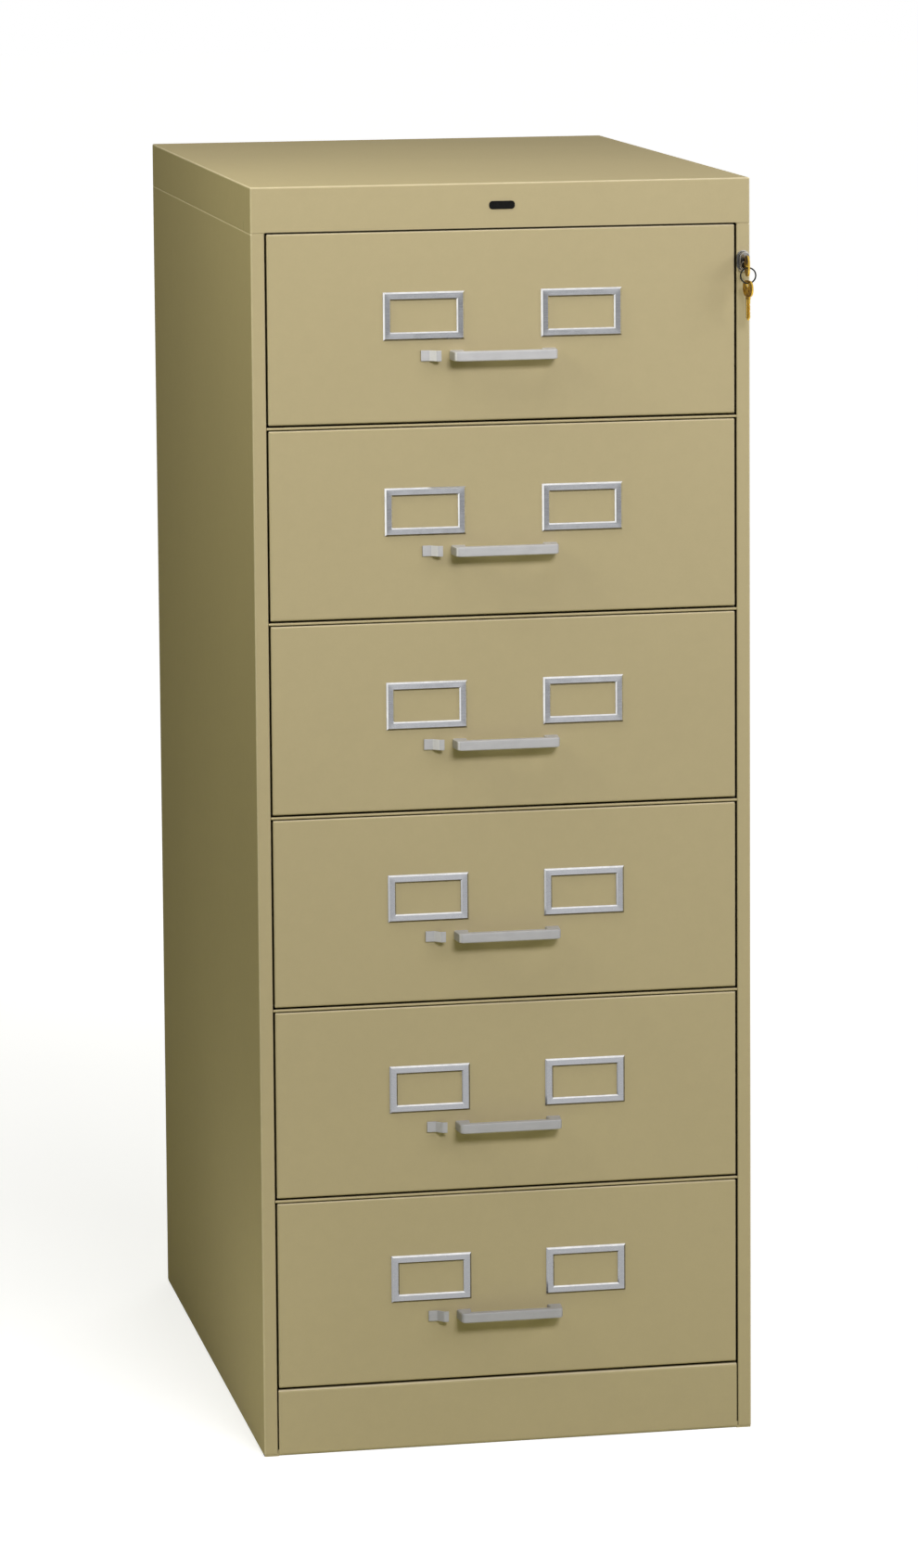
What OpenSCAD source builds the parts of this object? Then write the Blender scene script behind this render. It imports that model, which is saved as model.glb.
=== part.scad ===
// Card index cabinet: six drawers with two card rows each, in a folded steel case.
// X runs to the right, Y to the back and Z up, in millimetres.
// The origin is the centre of the footprint, on the floor.

/* [Case] */
// Outside width of the case
case_w = 520; // [480:1:600]
// Outside depth of the case
case_d = 724; // [660:1:800]
// Height of the top cap
cap_h = 47; // [36:1:60]
// Height of the toe panel under the lowest drawer
toe_h = 70.5; // [50:0.5:90]
// Depth of the flange along the top of the toe panel
toe_flange = 20; // [12:1:30]
// Height of the welded corners that close the toe panel's gaps
toe_corner_h = 7; // [4:0.5:15]
// Thickness of the case sheet
case_t = 1.2; // [0.9:0.1:1.4]
// Thickness of the floor pan sheet
pan_t = 2.5; // [2:0.1:3]
// How far the floor pan stops inside the outline of the case
pan_inset = 0.6; // [0.2:0.1:1]
// Inside radius of the bends
bend_r = 0.8; // [0.4:0.1:1.2]
// Radius of the edges where the cap meets the case
seam_r = 0.6; // [0.3:0.1:0.9]
// Width of the flanges that join the cap to the case
cap_flange = 12; // [8:0.5:16]

/* [Front frame] */
// Width of the stiles beside the drawers
stile_w = 14.5; // [14:0.25:20]
// Depth of the flange behind each stile
stile_return = 12; // [8:0.5:16]
// Thickness of the cross rails
rail_t = 2.5; // [2:0.1:3.5]
// Depth of the cross rails
rail_d = 20; // [12:1:24]
// Gap between the toe panel and each stile
toe_gap = 1.2; // [0.6:0.1:2]

/* [Drawers] */
// Height from one drawer to the next
drawer_pitch = 201; // [190:1:215]
// Gap between a drawer front and the stile beside it
side_gap = 1.75; // [1:0.25:3]
// Gap above a drawer front
top_gap = 1; // [0.6:0.1:2]
// Gap below a drawer front
bottom_gap = 2; // [1:0.1:3]
// Depth of the folded drawer front
front_d = 18; // [15:0.5:21]
// Width of the lip folded in behind a drawer front
front_lip = 8; // [6:0.5:12]
// How far the panel behind a drawer front stays inside its edge
panel_inset = 3; // [2:0.25:5]
// Thickness of the tray sheet
tray_t = 0.9; // [0.7:0.1:1.2]
// Gap between sheets that are spot welded
weld_gap = 0.05; // [0.02:0.01:0.1]
// Height of the tray walls
tray_h = 140; // [130:1:155]
// Height of the tray floor above the lower edge of the front
tray_lift = 10; // [8:0.5:16]
// Width of the flange folded out along the tray walls
tray_flange = 5; // [3:0.5:7]
// Space behind the tray
rear_gap = 20; // [10:1:40]
// Height of the partition between the two card rows
divider_h = 110; // [80:1:125]
// Thickness of the partition
divider_t = 1.2; // [0.8:0.1:2]

/* [Slides] */
// Height of the channels fixed to the case
slide_h = 44; // [40:1:50]
// Width taken by the slides on each side of a tray
slide_w = 9.7; // [9:0.1:12]
// Height of the slides above the lower edge of a drawer front
slide_z = 62; // [50:1:75]
// Thickness of the slide sheet
slide_t = 1.2; // [1:0.1:1.4]
// Room above and below each channel inside the next one
slide_run = 0.3; // [0.2:0.05:0.5]
// Room beside each channel inside the next one
slide_side = 0.6; // [0.4:0.1:0.8]
// Room between the slides and the edge of the opening
slide_inset = 0.5; // [0.3:0.1:1]
// Distance from the face to the front end of the slides
slide_front = 25; // [23:1:40]
// Distance from the back of a tray to the rear end of its slides
slide_rear = 30; // [15:1:60]
// How much shorter the middle channels are
mid_short = 40; // [20:1:80]
// Width of the uprights that carry the slides
upright_w = 36; // [24:1:50]
// Distance from each end of the slides to the middle of the upright
upright_set = 45; // [40:1:80]

/* [Followers] */
// Height of a follower plate
follower_h = 118; // [90:1:125]
// Thickness of the follower sheet
follower_t = 1.2; // [0.8:0.1:1.6]
// Lean of a follower plate in degrees
follower_lean = 12; // [0:1:18]
// Room on each side of a follower plate
follower_gap = 4; // [2:0.5:8]
// Length of a follower's foot
foot_l = 70; // [60:1:100]
// Width of a follower's foot
foot_w = 120; // [60:1:160]
// Distance from the tray's back to a follower's foot
follower_set = 20; // [10:1:60]
// Width of the slot that guides a follower
slot_w = 8; // [6:0.5:12]
// Room around a follower's guide in its slot
slot_run = 0.3; // [0.2:0.05:0.5]
// Distance from the panel behind the front to the slot
slot_front = 50; // [30:1:90]
// Distance from the ends of the foot to the guide
guide_inset = 10; // [5:1:15]
// Width of the keeper under the tray floor
keeper_w = 20; // [16:1:30]
// Thickness of the keeper
keeper_t = 2; // [1:0.1:3]

/* [Handles] */
// Distance between the two handle screws
handle_pitch = 96; // [80:1:110]
// Height of a handle above the lower edge of a drawer front
handle_z = 68; // [50:1:80]
// Distance that a handle stands out from the front
handle_proud = 20; // [16:0.5:30]
// Thickness of the grip from front to back
grip_d = 8; // [6:0.5:10]
// Height of the grip
grip_h = 10; // [9:0.5:14]
// Width of a handle's legs
leg_w = 11; // [9:0.5:14]
// How much a leg widens towards the front
leg_flare = 2; // [0:0.25:3]
// Radius of the handle's outer corners
grip_r = 4; // [1:0.5:5]
// Radius of the handle screws
screw_r = 2; // [1.5:0.1:2.5]
// Room around the screws
screw_fit = 0.1; // [0.05:0.05:0.2]
// Length of the screws inside the legs
screw_l = 11; // [6:0.5:12]
// Radius of the screw heads
screw_head_r = 4; // [3.5:0.1:5]
// Thickness of the screw heads
screw_head_t = 2.4; // [1.5:0.1:3]

/* [Label holders] */
// Distance of the label holders from the middle of a drawer
label_x = 82.2; // [60:0.1:120]
// Height of their middle above the lower edge of a drawer front
label_z = 109; // [105:1:130]
// Width of a label holder
label_w = 84.6; // [60:0.1:100]
// Height of a label holder
label_h = 49.4; // [40:0.1:56]
// Width of the frame around its window
label_rim = 8.25; // [5:0.25:9]
// How far the frame stands out
label_t = 2.4; // [2:0.1:3.5]
// Width of the slope around the outside of the frame
label_slope = 1.5; // [0.2:0.1:2.2]
// Width of the slope around its window
window_slope = 1.4; // [0.2:0.1:2]
// Width of the ledge that holds a card behind the frame
card_ledge = 2.5; // [1:0.25:3]
// Depth of the space for a card
card_d = 1; // [0.6:0.1:1.2]
// Width of the prongs behind the frame
prong_w = 5; // [3:0.5:8]
// Thickness of the prongs
prong_t = 0.9; // [0.6:0.1:1.2]
// Length of the prongs
prong_l = 5; // [3:0.5:8]
// Room around the prongs
prong_fit = 0.2; // [0.1:0.05:0.4]

/* [Thumb latches] */
// Distance of a latch from the middle of the drawer
latch_x = 75.5; // [72:0.5:90]
// Width of the thumb tab
latch_w = 20; // [18:0.5:22]
// Height of the thumb tab
latch_h = 11; // [9:0.5:15]
// How far the lip of the tab rises
latch_rise = 6.5; // [5:0.5:10]
// Width of the ramp up to the lip
latch_ramp = 6.5; // [4:0.5:7]
// Width of the lip
latch_lip = 4.5; // [3.5:0.25:5.5]
// Radius of the bends in the tab
latch_bend = 2.5; // [1:0.5:4]
// Thickness of the latch metal
latch_t = 1.5; // [1:0.1:2]
// Travel of a latch
latch_throw = 7; // [4:0.5:8]
// Room around the moving latch
latch_run = 0.3; // [0.2:0.05:0.5]
// Height of the bolt behind the front
bolt_h = 9; // [6:0.5:12]
// How far the tip of the bolt stays inside the edge of the front
bolt_set = 0.3; // [0.1:0.1:0.6]
// Width of the neck between tab and bolt
neck_w = 6; // [4:0.5:8]
// Width of the straps that guide the bolt
strap_w = 10; // [6:0.5:16]
// Thickness of the straps
strap_t = 1.2; // [0.8:0.1:1.6]
// Distance of the straps from the edge of the front
strap_x = 40; // [30:1:60]

/* [Lock] */
// Width of the lock barrel
lock_w = 11; // [9:0.1:11]
// Height of the lock barrel
lock_h = 19; // [16:0.5:22]
// Distance from the cap to the middle of the lock
lock_drop = 39; // [30:1:60]
// How far the barrel stands out when unlocked
lock_proud = 7; // [6:0.5:9]
// Depth of the barrel behind the face
lock_depth = 38; // [36:0.5:44]
// Room around the barrel
lock_run = 0.3; // [0.2:0.05:0.4]
// Radius of the plug
plug_r = 4.2; // [4:0.1:4.6]
// Length of the plug
plug_l = 24; // [22:0.5:26]
// Room around the plug
plug_run = 0.1; // [0.05:0.05:0.15]
// Width of the lock bar
bar_w = 10; // [8:0.25:10.5]
// Thickness of the lock bar
bar_t = 8; // [5:0.25:9]
// Distance from the face to the lock bar
bar_y = 27; // [25:0.5:28]
// Thickness of the lugs on the lock bar
lug_t = 3; // [2:0.25:4]
// Height of the lugs
lug_h = 8; // [7:0.5:12]
// Height of the lugs above the lower edge of a drawer front
lug_z = 118; // [108:1:124]
// Room between a lug and the tray wall
lug_room = 2; // [1:0.25:3]
// Height of the catches on the trays
catch_h = 10; // [8:0.5:14]
// Width of the catches
catch_w = 6.5; // [5:0.25:7.5]
// Room between a lug and its catch
catch_run = 0.6; // [0.4:0.1:1]
// Height of the guides around the lock bar
bar_guide_h = 14; // [8:1:24]

/* [Keys] */
// Thickness of a key
key_t = 2; // [1.6:0.1:2.2]
// Width of a key's bow
bow_w = 22; // [18:0.5:25]
// Length of a key's bow
bow_l = 17; // [15:0.5:20]
// Radius of the bow's corners
bow_r = 7.5; // [4:0.5:8]
// Width of a key's shoulder
shoulder_w = 8.4; // [7.5:0.1:10]
// Length of a key's shoulder
shoulder_l = 2.5; // [1.5:0.25:4]
// Width of a key's blade
blade_w = 6.6; // [6:0.1:7]
// Length of a key's blade
blade_l = 22; // [18:0.5:22]
// Room around the blade in the keyway
blade_run = 0.2; // [0.1:0.05:0.25]
// Radius of the hole in a bow
eye_r = 2.6; // [2:0.1:3]
// Distance from the end of a bow to the middle of its hole
eye_set = 4.6; // [4:0.1:6]
// Middle radius of the key ring
ring_r = 8; // [7.5:0.1:10]
// Radius of the ring's wire
wire_r = 0.8; // [0.6:0.05:1]
// Room between the wire and the edge of a hole
wire_run = 0.3; // [0.2:0.05:0.4]
// Turn of the hanging key in degrees
spare_turn = 12; // [0:1:20]

/* [Hidden] */
$fn = 48;
arc_steps = 4;
half_circle_steps = 4 * arc_steps;
drawers = 6;
over = 1;
// Place of each cut along a key's blade and its size, as shares of the blade's length and width
key_cuts = [[0.25, 0.3], [0.4, 0.2], [0.55, 0.3], [0.7, 0.2]];

tan_paint = "#b3a57f";
satin_metal = "#a9a79f";
zinc = "#b9bcbc";
brass = "#b98d3f";

case_pieces = [
    "case_shell", "top_cap", "base_pan", "drawer_rails", "slide_uprights", "case_slides",
    "lock_barrel", "lock_plug", "lock_bar", "key", "key_ring", "spare_key"
];
drawer_pieces = [
    "front", "tray", "handle", "label_holders", "thumb_latch", "mid_slides",
    "follower_left", "follower_right"
];
function drawer_node(k, piece) = str("drawer_", k, "_", piece);

// Case
face_y = -case_d / 2;
back_y = case_d / 2;
half_w = case_w / 2;
cap_z = toe_h + drawers * drawer_pitch - rail_t;
case_h = cap_z + cap_h;
bend_out = bend_r + case_t;
guide_bend = bend_r / 4;
guided_drawers = [2, drawers];
open_half = half_w - stile_w;
rail_r = 0.45 * rail_t;
toe_half = open_half - toe_gap;

// Drawer fronts, from the middle of the face's lower edge
front_half = open_half - side_gap;
front_h = drawer_pitch - rail_t - top_gap - bottom_gap;
panel_y = front_d + tray_t;
tray_back = case_d - case_t - rear_gap;
latch_y = case_t + latch_run;

// Slides
slide_bend = slide_t / 3;
slide_x = open_half - slide_inset;
tray_half = slide_x - slide_w;
mid_x = slide_x - slide_t - slide_side;
inner_x = mid_x - slide_t - slide_side;
mid_h = slide_h - 2 * (slide_t + slide_run);
inner_h = mid_h - 2 * (slide_t + slide_run);
slide_end = tray_back - slide_rear;

// Card rows
floor_top = tray_lift + tray_t;
row_w = tray_half - tray_t - divider_t / 2;
row_x = (divider_t + row_w) / 2;
foot_back = tray_back - tray_t - follower_set;
foot_front = foot_back - foot_l;

// Lock
lock_x = half_w - stile_w / 2;
lock_z = cap_z - lock_drop;
lock_y = face_y - lock_proud;
plug_z = lock_z - (lock_h - lock_w) / 2;
bar_x = half_w - case_t - lock_run;
catch_y = bar_y + lug_t + catch_run;
key_y = lock_y - blade_run;
eye_y = key_y - shoulder_l - bow_l + eye_set;
ring_z = plug_z - eye_r + wire_run + wire_r - ring_r;
spare_eye_z = ring_z - ring_r + wire_r + wire_run - eye_r;

function drawer_z(k) = toe_h + (drawers - k) * drawer_pitch + bottom_gap;

// Geometry of sheet profiles
function unit(v) = v / norm(v);
function left_of(v) = [-v[1], v[0]];
function half_turn(a) = a > 180 ? a - 360 : a < -180 ? a + 360 : a;

// The corner at b between a and c, as an arc of radius r
function corner(a, b, c, r) =
    r <= 0 ? [b] :
    let (
        u = unit(a - b),
        v = unit(c - b),
        half = acos(u * v) / 2,
        centre = b + unit(u + v) * r / sin(half),
        from = b + u * r / tan(half) - centre,
        to = b + v * r / tan(half) - centre,
        start = atan2(from[1], from[0]),
        swing = half_turn(atan2(to[1], to[0]) - start)
    )
    [for (i = [0 : arc_steps])
        let (angle = start + swing * i / arc_steps)
        centre + r * [cos(angle), sin(angle)]];

// A closed outline with a radius for each corner
function rounded(points, radii) =
    let (n = len(points))
    [for (i = [0 : n - 1])
        each corner(points[(i + n - 1) % n], points[i], points[(i + 1) % n], radii[i])];

// The point t to the left of the corner at b
function mitre(a, b, c, t) =
    let (m = left_of(unit(b - a)), n = left_of(unit(c - b)))
    b + t * (m + n) / (1 + m * n);

// An open path whose inner corners are rounded, each to its own radius
function bent(path, radii) =
    let (last = len(path) - 1)
    [for (i = [0 : last])
        each i == 0 || i == last ? [path[i]] : corner(path[i - 1], path[i], path[i + 1], radii[i])];

function backwards(list) = [for (i = [len(list) - 1 : -1 : 0]) list[i]];

// A sheet of thickness t to the left of a path, with bends of inside radius r
function sheet(path, t, r) =
    let (
        last = len(path) - 1,
        turns = [for (i = [0 : last])
            i == 0 || i == last ? 0 : cross(path[i] - path[i - 1], path[i + 1] - path[i])],
        far = [for (i = [0 : last])
            i == 0 ? path[0] + t * left_of(unit(path[1] - path[0])) :
            i == last ? path[last] + t * left_of(unit(path[last] - path[last - 1])) :
            mitre(path[i - 1], path[i], path[i + 1], t)]
    )
    concat(
        bent(path, [for (turn = turns) turn > 0 ? r + t : r]),
        backwards(bent(far, [for (turn = turns) turn > 0 ? r : r + t]))
    );

// Profiles drawn in (Y, Z), (X, Z) and (X, Y), and carried along the third axis
module along_x(x0, x1) {
    translate([x0, 0, 0])
        rotate([90, 0, 90])
            linear_extrude(x1 - x0)
                children();
}

module along_y(y0, y1) {
    translate([0, y1, 0])
        rotate([90, 0, 0])
            linear_extrude(y1 - y0)
                children();
}

module along_z(z0, z1) {
    translate([0, 0, z0])
        linear_extrude(z1 - z0)
            children();
}

module box(a, b) {
    translate(a)
        cube(b - a);
}

// A rectangle with one radius for its lower corners and one for its upper corners
module rounded_rect(a, b, low_r, high_r) {
    polygon(rounded([a, [b[0], a[1]], b, [a[0], b[1]]], [low_r, low_r, high_r, high_r]));
}

// A block with upright edges of the radius r, and its own radii around the bottom and the top
module rounded_block(a, b, r, low_r, high_r) {
    intersection() {
        along_x(a[0], b[0])
            rounded_rect([a[1], a[2]], [b[1], b[2]], low_r, high_r);
        along_y(a[1], b[1])
            rounded_rect([a[0], a[2]], [b[0], b[2]], low_r, high_r);
        along_z(a[2], b[2])
            rounded_rect([a[0], a[1]], [b[0], b[1]], r, r);
    }
}

// A channel with its web at x_web, open towards x_open
module channel(x_open, x_web, h, t) {
    up = x_web > x_open ? h / 2 : -h / 2;
    polygon(sheet([[x_open, -up], [x_web, -up], [x_web, up], [x_open, up]], t, slide_bend));
}

module both_sides() {
    children();
    mirror([1, 0, 0])
        children();
}

module at_drawer(k) {
    translate([0, face_y, drawer_z(k)])
        children();
}

// The outline of the lock barrel in (X, Z), grown by room
module lock_outline(room) {
    r = lock_w / 2 + room;
    rise = (lock_h - lock_w) / 2;
    polygon([for (i = [0 : 2 * half_circle_steps + 1])
        let (
            top = i <= half_circle_steps,
            angle = 180 * (top ? i : i - 1) / half_circle_steps
        )
        [lock_x + r * cos(angle), lock_z + (top ? rise : -rise) + r * sin(angle)]]);
}

// The edge of a stile and its flange, with a slot for each latch bolt where it has strikes
module stile_edge(strikes) {
    difference() {
        along_z(pan_t, cap_z)
            polygon(sheet([
                [open_half, face_y + stile_return],
                [open_half, face_y],
                [open_half + bend_out + 2 * over, face_y]
            ], case_t, bend_r));
        if (strikes)
            for (k = [1 : drawers])
                translate([0, face_y, drawer_z(k) + handle_z])
                    box(
                        [open_half - over, latch_y - latch_run, -bolt_h / 2 - latch_run],
                        [open_half + bend_out + over, latch_y + latch_t + latch_run, bolt_h / 2 + latch_run]
                    );
    }
}

// A strap that keeps the lock bar against the side of the case
module bar_guide(z) {
    wall = half_w - case_t;
    front = face_y + bar_y - lock_run - case_t;
    rear = face_y + bar_y + bar_t + lock_run + case_t;
    inside = bar_x - bar_w - lock_run - case_t;
    along_z(z - bar_guide_h / 2, z + bar_guide_h / 2)
        polygon(sheet([
            [wall, rear],
            [inside, rear],
            [inside, front],
            [wall, front]
        ], case_t, guide_bend));
}

module case_shell() {
    color(tan_paint) {
        difference() {
            rounded_block([-half_w, face_y, -bend_out], [half_w, back_y, cap_z], bend_out, bend_out, seam_r);
            box(
                [-half_w + case_t, face_y + case_t, -bend_out - over],
                [half_w - case_t, back_y - case_t, cap_z - case_t]
            );
            box(
                [-half_w + cap_flange, face_y + cap_flange, cap_z - case_t - over],
                [half_w - cap_flange, back_y - cap_flange, cap_z + over]
            );
            box(
                [-open_half - bend_out - over, face_y - over, -bend_out - over],
                [open_half + bend_out + over, face_y + cap_flange + over, cap_z + over]
            );
            box([-half_w - over, face_y - over, -bend_out - over], [half_w + over, back_y + over, pan_t]);
            along_y(face_y - over, face_y + case_t + over)
                lock_outline(lock_run);
        }
        difference() {
            stile_edge(false);
            along_y(face_y - over, face_y + case_t + over)
                lock_outline(lock_run);
        }
        mirror([1, 0, 0])
            stile_edge(true);
        for (k = guided_drawers)
            bar_guide(drawer_z(k) + handle_z);
    }
}

module top_cap() {
    color(tan_paint)
        difference() {
            rounded_block([-half_w, face_y, cap_z], [half_w, back_y, case_h], bend_out, seam_r, bend_out);
            box(
                [-half_w + case_t, face_y + case_t, cap_z + case_t],
                [half_w - case_t, back_y - case_t, case_h - case_t]
            );
            box(
                [-half_w + cap_flange, face_y + cap_flange, cap_z - over],
                [half_w - cap_flange, back_y - cap_flange, cap_z + case_t + over]
            );
        }
}

module base_pan() {
    color(tan_paint) {
        along_x(-toe_half, toe_half)
            polygon(sheet([
                [face_y + toe_flange, toe_h],
                [face_y, toe_h],
                [face_y, 0],
                [back_y - pan_inset, 0]
            ], pan_t, bend_r));
        both_sides() {
            box(
                [toe_half - over, face_y + bend_r + pan_t, 0],
                [half_w - pan_inset, back_y - pan_inset, pan_t]
            );
            box([toe_half, face_y + pan_inset, 0], [half_w - pan_inset, face_y + bend_r + pan_t, pan_t]);
            box([toe_half - over, face_y + pan_inset, pan_t], [open_half, face_y + pan_t, toe_corner_h]);
        }
    }
}

module drawer_rails() {
    color(tan_paint)
        for (k = [1 : drawers - 1])
            translate([0, face_y, drawer_z(k) - bottom_gap - rail_t])
                along_x(-open_half, open_half)
                    polygon(rounded(
                        [[0, 0], [rail_d, 0], [rail_d, rail_t], [0, rail_t]],
                        [rail_r, 0, 0, rail_r]
                    ));
}

module slide_uprights() {
    color(zinc)
        both_sides()
            for (middle = [slide_front + upright_set, slide_end - upright_set])
                translate([0, face_y + middle, 0])
                    along_z(pan_t, cap_z - case_t)
                        polygon(sheet([
                            [half_w - case_t, upright_w / 2],
                            [slide_x, upright_w / 2],
                            [slide_x, -upright_w / 2],
                            [half_w - case_t, -upright_w / 2]
                        ], case_t, bend_r));
}

module case_slides() {
    color(zinc)
        for (k = [1 : drawers])
            at_drawer(k)
                both_sides()
                    translate([0, 0, slide_z])
                        along_y(slide_front, slide_end)
                            channel(tray_half + slide_side, slide_x, slide_h, slide_t);
}

module mid_slides() {
    color(zinc)
        both_sides()
            translate([0, 0, slide_z])
                along_y(slide_front, slide_end - mid_short)
                    channel(tray_half + slide_side, mid_x, mid_h, slide_t);
}

module latch_strap() {
    inside = latch_y + latch_t + latch_run;
    outside = bolt_h / 2 + latch_run + strap_t;
    translate([0, 0, handle_z])
        along_x(0, strap_w)
            difference() {
                translate([case_t - strap_t / 2, -outside])
                    square([inside + strap_t - case_t + strap_t / 2, 2 * outside]);
                translate([case_t - strap_t, -outside + strap_t])
                    square([inside - case_t + strap_t, 2 * (outside - strap_t)]);
            }
}

module drawer_front() {
    bolt_room = bolt_h / 2 + latch_run;
    neck_left = -latch_x - latch_w / 2 + over;
    neck_room = bolt_h / 2 - over + latch_run;
    color(tan_paint) {
        difference() {
            rounded_block([-front_half, 0, 0], [front_half, front_d, front_h], bend_out, bend_out, bend_out);
            box(
                [-front_half + case_t, case_t, case_t],
                [front_half - case_t, front_d - case_t, front_h - case_t]
            );
            box(
                [-front_half + front_lip, front_d - case_t - over, front_lip],
                [front_half - front_lip, front_d + over, front_h - front_lip]
            );
            for (side = [-1, 1])
                translate([side * handle_pitch / 2, case_t + over, handle_z])
                    rotate([90, 0, 0])
                        cylinder(h = case_t + 2 * over, r = screw_r + 2 * screw_fit);
            label_places()
                label_prongs(prong_fit);
            translate([0, 0, handle_z])
                box(
                    [neck_left - latch_run, -over, -neck_room],
                    [neck_left + neck_w + latch_throw + latch_run, case_t + over, neck_room]
                );
            translate([0, 0, handle_z])
                box(
                    [-front_half - over, latch_y - latch_run, -bolt_room],
                    [-front_half + case_t + over, latch_y + latch_t + latch_run, bolt_room]
                );
        }
        for (x = [-front_half + strap_x, -latch_x - latch_w - strap_x])
            translate([x, 0, 0])
                latch_strap();
    }
}

// The lower corners of a plate that stands in the bends of the tray
module tray_plate(half, bottom, top) {
    polygon(rounded(
        [[-half, bottom], [half, bottom], [half, top], [-half, top]],
        [bend_r, bend_r, 0, 0]
    ));
}

module drawer_tray() {
    top = tray_lift + tray_h;
    inner_half = tray_half - tray_t;
    color(tan_paint) {
        box(
            [-front_half + panel_inset, front_d, panel_inset],
            [front_half - panel_inset, panel_y, front_h - panel_inset]
        );
        difference() {
            union() {
                along_y(panel_y + weld_gap, tray_back)
                    polygon(sheet([
                        [-tray_half - tray_flange, top],
                        [-tray_half, top],
                        [-tray_half, tray_lift],
                        [tray_half, tray_lift],
                        [tray_half, top],
                        [tray_half + tray_flange, top]
                    ], tray_t, bend_r));
                box(
                    [tray_half - tray_t / 2, catch_y, lug_z - catch_run - catch_h],
                    [tray_half + catch_w, catch_y + lug_t, lug_z - catch_run]
                );
            }
            for (side = [-1, 1])
                translate([side * row_x, 0, tray_lift])
                    box(
                        [-slot_w / 2, panel_y + slot_front, -over],
                        [slot_w / 2, foot_back - guide_inset + slot_run, tray_t + over]
                    );
        }
        along_y(tray_back - tray_t, tray_back)
            tray_plate(inner_half - weld_gap, floor_top + weld_gap, top);
        box(
            [-divider_t / 2, panel_y + weld_gap, floor_top + weld_gap],
            [divider_t / 2, tray_back - tray_t - weld_gap, floor_top + divider_h]
        );
    }
    color(zinc)
        both_sides()
            translate([0, 0, slide_z])
                along_y(slide_front, slide_end)
                    channel(inner_x, tray_half + weld_gap, inner_h, slide_t);
}

// The follower of the row on one side, -1 for left and 1 for right
module follower(side) {
    half = row_w / 2 - follower_gap;
    low = floor_top + slot_run;
    lean = follower_h * [sin(follower_lean), cos(follower_lean)];
    guide_half = slot_w / 2 - slot_run;
    color(satin_metal)
        translate([side * row_x, 0, 0]) {
            along_x(-half, half)
                polygon(sheet([
                    [foot_front + lean[0], low + lean[1]],
                    [foot_front, low],
                    [foot_front + guide_inset, low]
                ], follower_t, bend_r));
            box(
                [-foot_w / 2, foot_front + guide_inset - over, low],
                [foot_w / 2, foot_back, low + follower_t]
            );
            box(
                [-guide_half, foot_front + guide_inset, tray_lift - slot_run - keeper_t],
                [guide_half, foot_back - guide_inset, low + follower_t]
            );
            box(
                [-keeper_w / 2, foot_front + guide_inset, tray_lift - slot_run - keeper_t],
                [keeper_w / 2, foot_back - guide_inset, tray_lift - slot_run]
            );
        }
}

module handle() {
    half = (handle_pitch + leg_w) / 2;
    grip_back = -handle_proud + grip_d;
    color(satin_metal)
        translate([0, 0, handle_z]) {
            difference() {
                along_z(-grip_h / 2, grip_h / 2)
                    polygon(rounded(
                        [
                            [-half - leg_flare, 0],
                            [-half, -handle_proud],
                            [half, -handle_proud],
                            [half + leg_flare, 0],
                            [half - leg_w - leg_flare, 0],
                            [half - leg_w, grip_back],
                            [-half + leg_w, grip_back],
                            [-half + leg_w + leg_flare, 0]
                        ],
                        [0, grip_r, grip_r, 0, 0, grip_r / 2, grip_r / 2, 0]
                    ));
                for (side = [-1, 1])
                    translate([side * handle_pitch / 2, over, 0])
                        rotate([90, 0, 0])
                            cylinder(h = screw_l + 2 * over, r = screw_r + screw_fit);
            }
            for (side = [-1, 1])
                translate([side * handle_pitch / 2, case_t, 0])
                    rotate([90, 0, 0]) {
                        cylinder(h = screw_l + case_t, r = screw_r);
                        translate([0, 0, -screw_head_t])
                            cylinder(h = screw_head_t, r = screw_head_r);
                    }
        }
}

module label_places() {
    for (side = [-1, 1])
        translate([side * label_x, 0, label_z])
            children();
}

module label_prongs(room) {
    for (side = [-1, 1])
        translate([side * (label_w - label_rim) / 2, 0, 0])
            box(
                [-prong_t / 2 - room, -card_d / 2, -prong_w / 2 - room],
                [prong_t / 2 + room, prong_l, prong_w / 2 + room]
            );
}

// A block along Y with half its size at one end, which narrows by the slope towards the other
module tapered(half, near, far, slope) {
    reach = half + [abs(slope), abs(slope)];
    intersection() {
        along_z(-reach[1], reach[1])
            polygon([
                [-half[0], near],
                [-half[0] + slope, far],
                [half[0] - slope, far],
                [half[0], near]
            ]);
        along_x(-reach[0], reach[0])
            polygon([
                [near, -half[1]],
                [far, -half[1] + slope],
                [far, half[1] - slope],
                [near, half[1]]
            ]);
    }
}

module label_holders() {
    outside = [label_w, label_h] / 2;
    window = outside - [label_rim, label_rim];
    card = window + [card_ledge, card_ledge];
    steep = window_slope / (label_t - card_d);
    back = steep * (card_d + over);
    color(satin_metal)
        label_places() {
            difference() {
                tapered(outside, 0, -label_t, label_slope);
                tapered(window - [back, back], over, -label_t - over, -steep * (label_t + 2 * over));
                box([-card[0], -card_d, -card[1]], [card[0], over, card[1]]);
            }
            label_prongs(0);
        }
}

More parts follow.
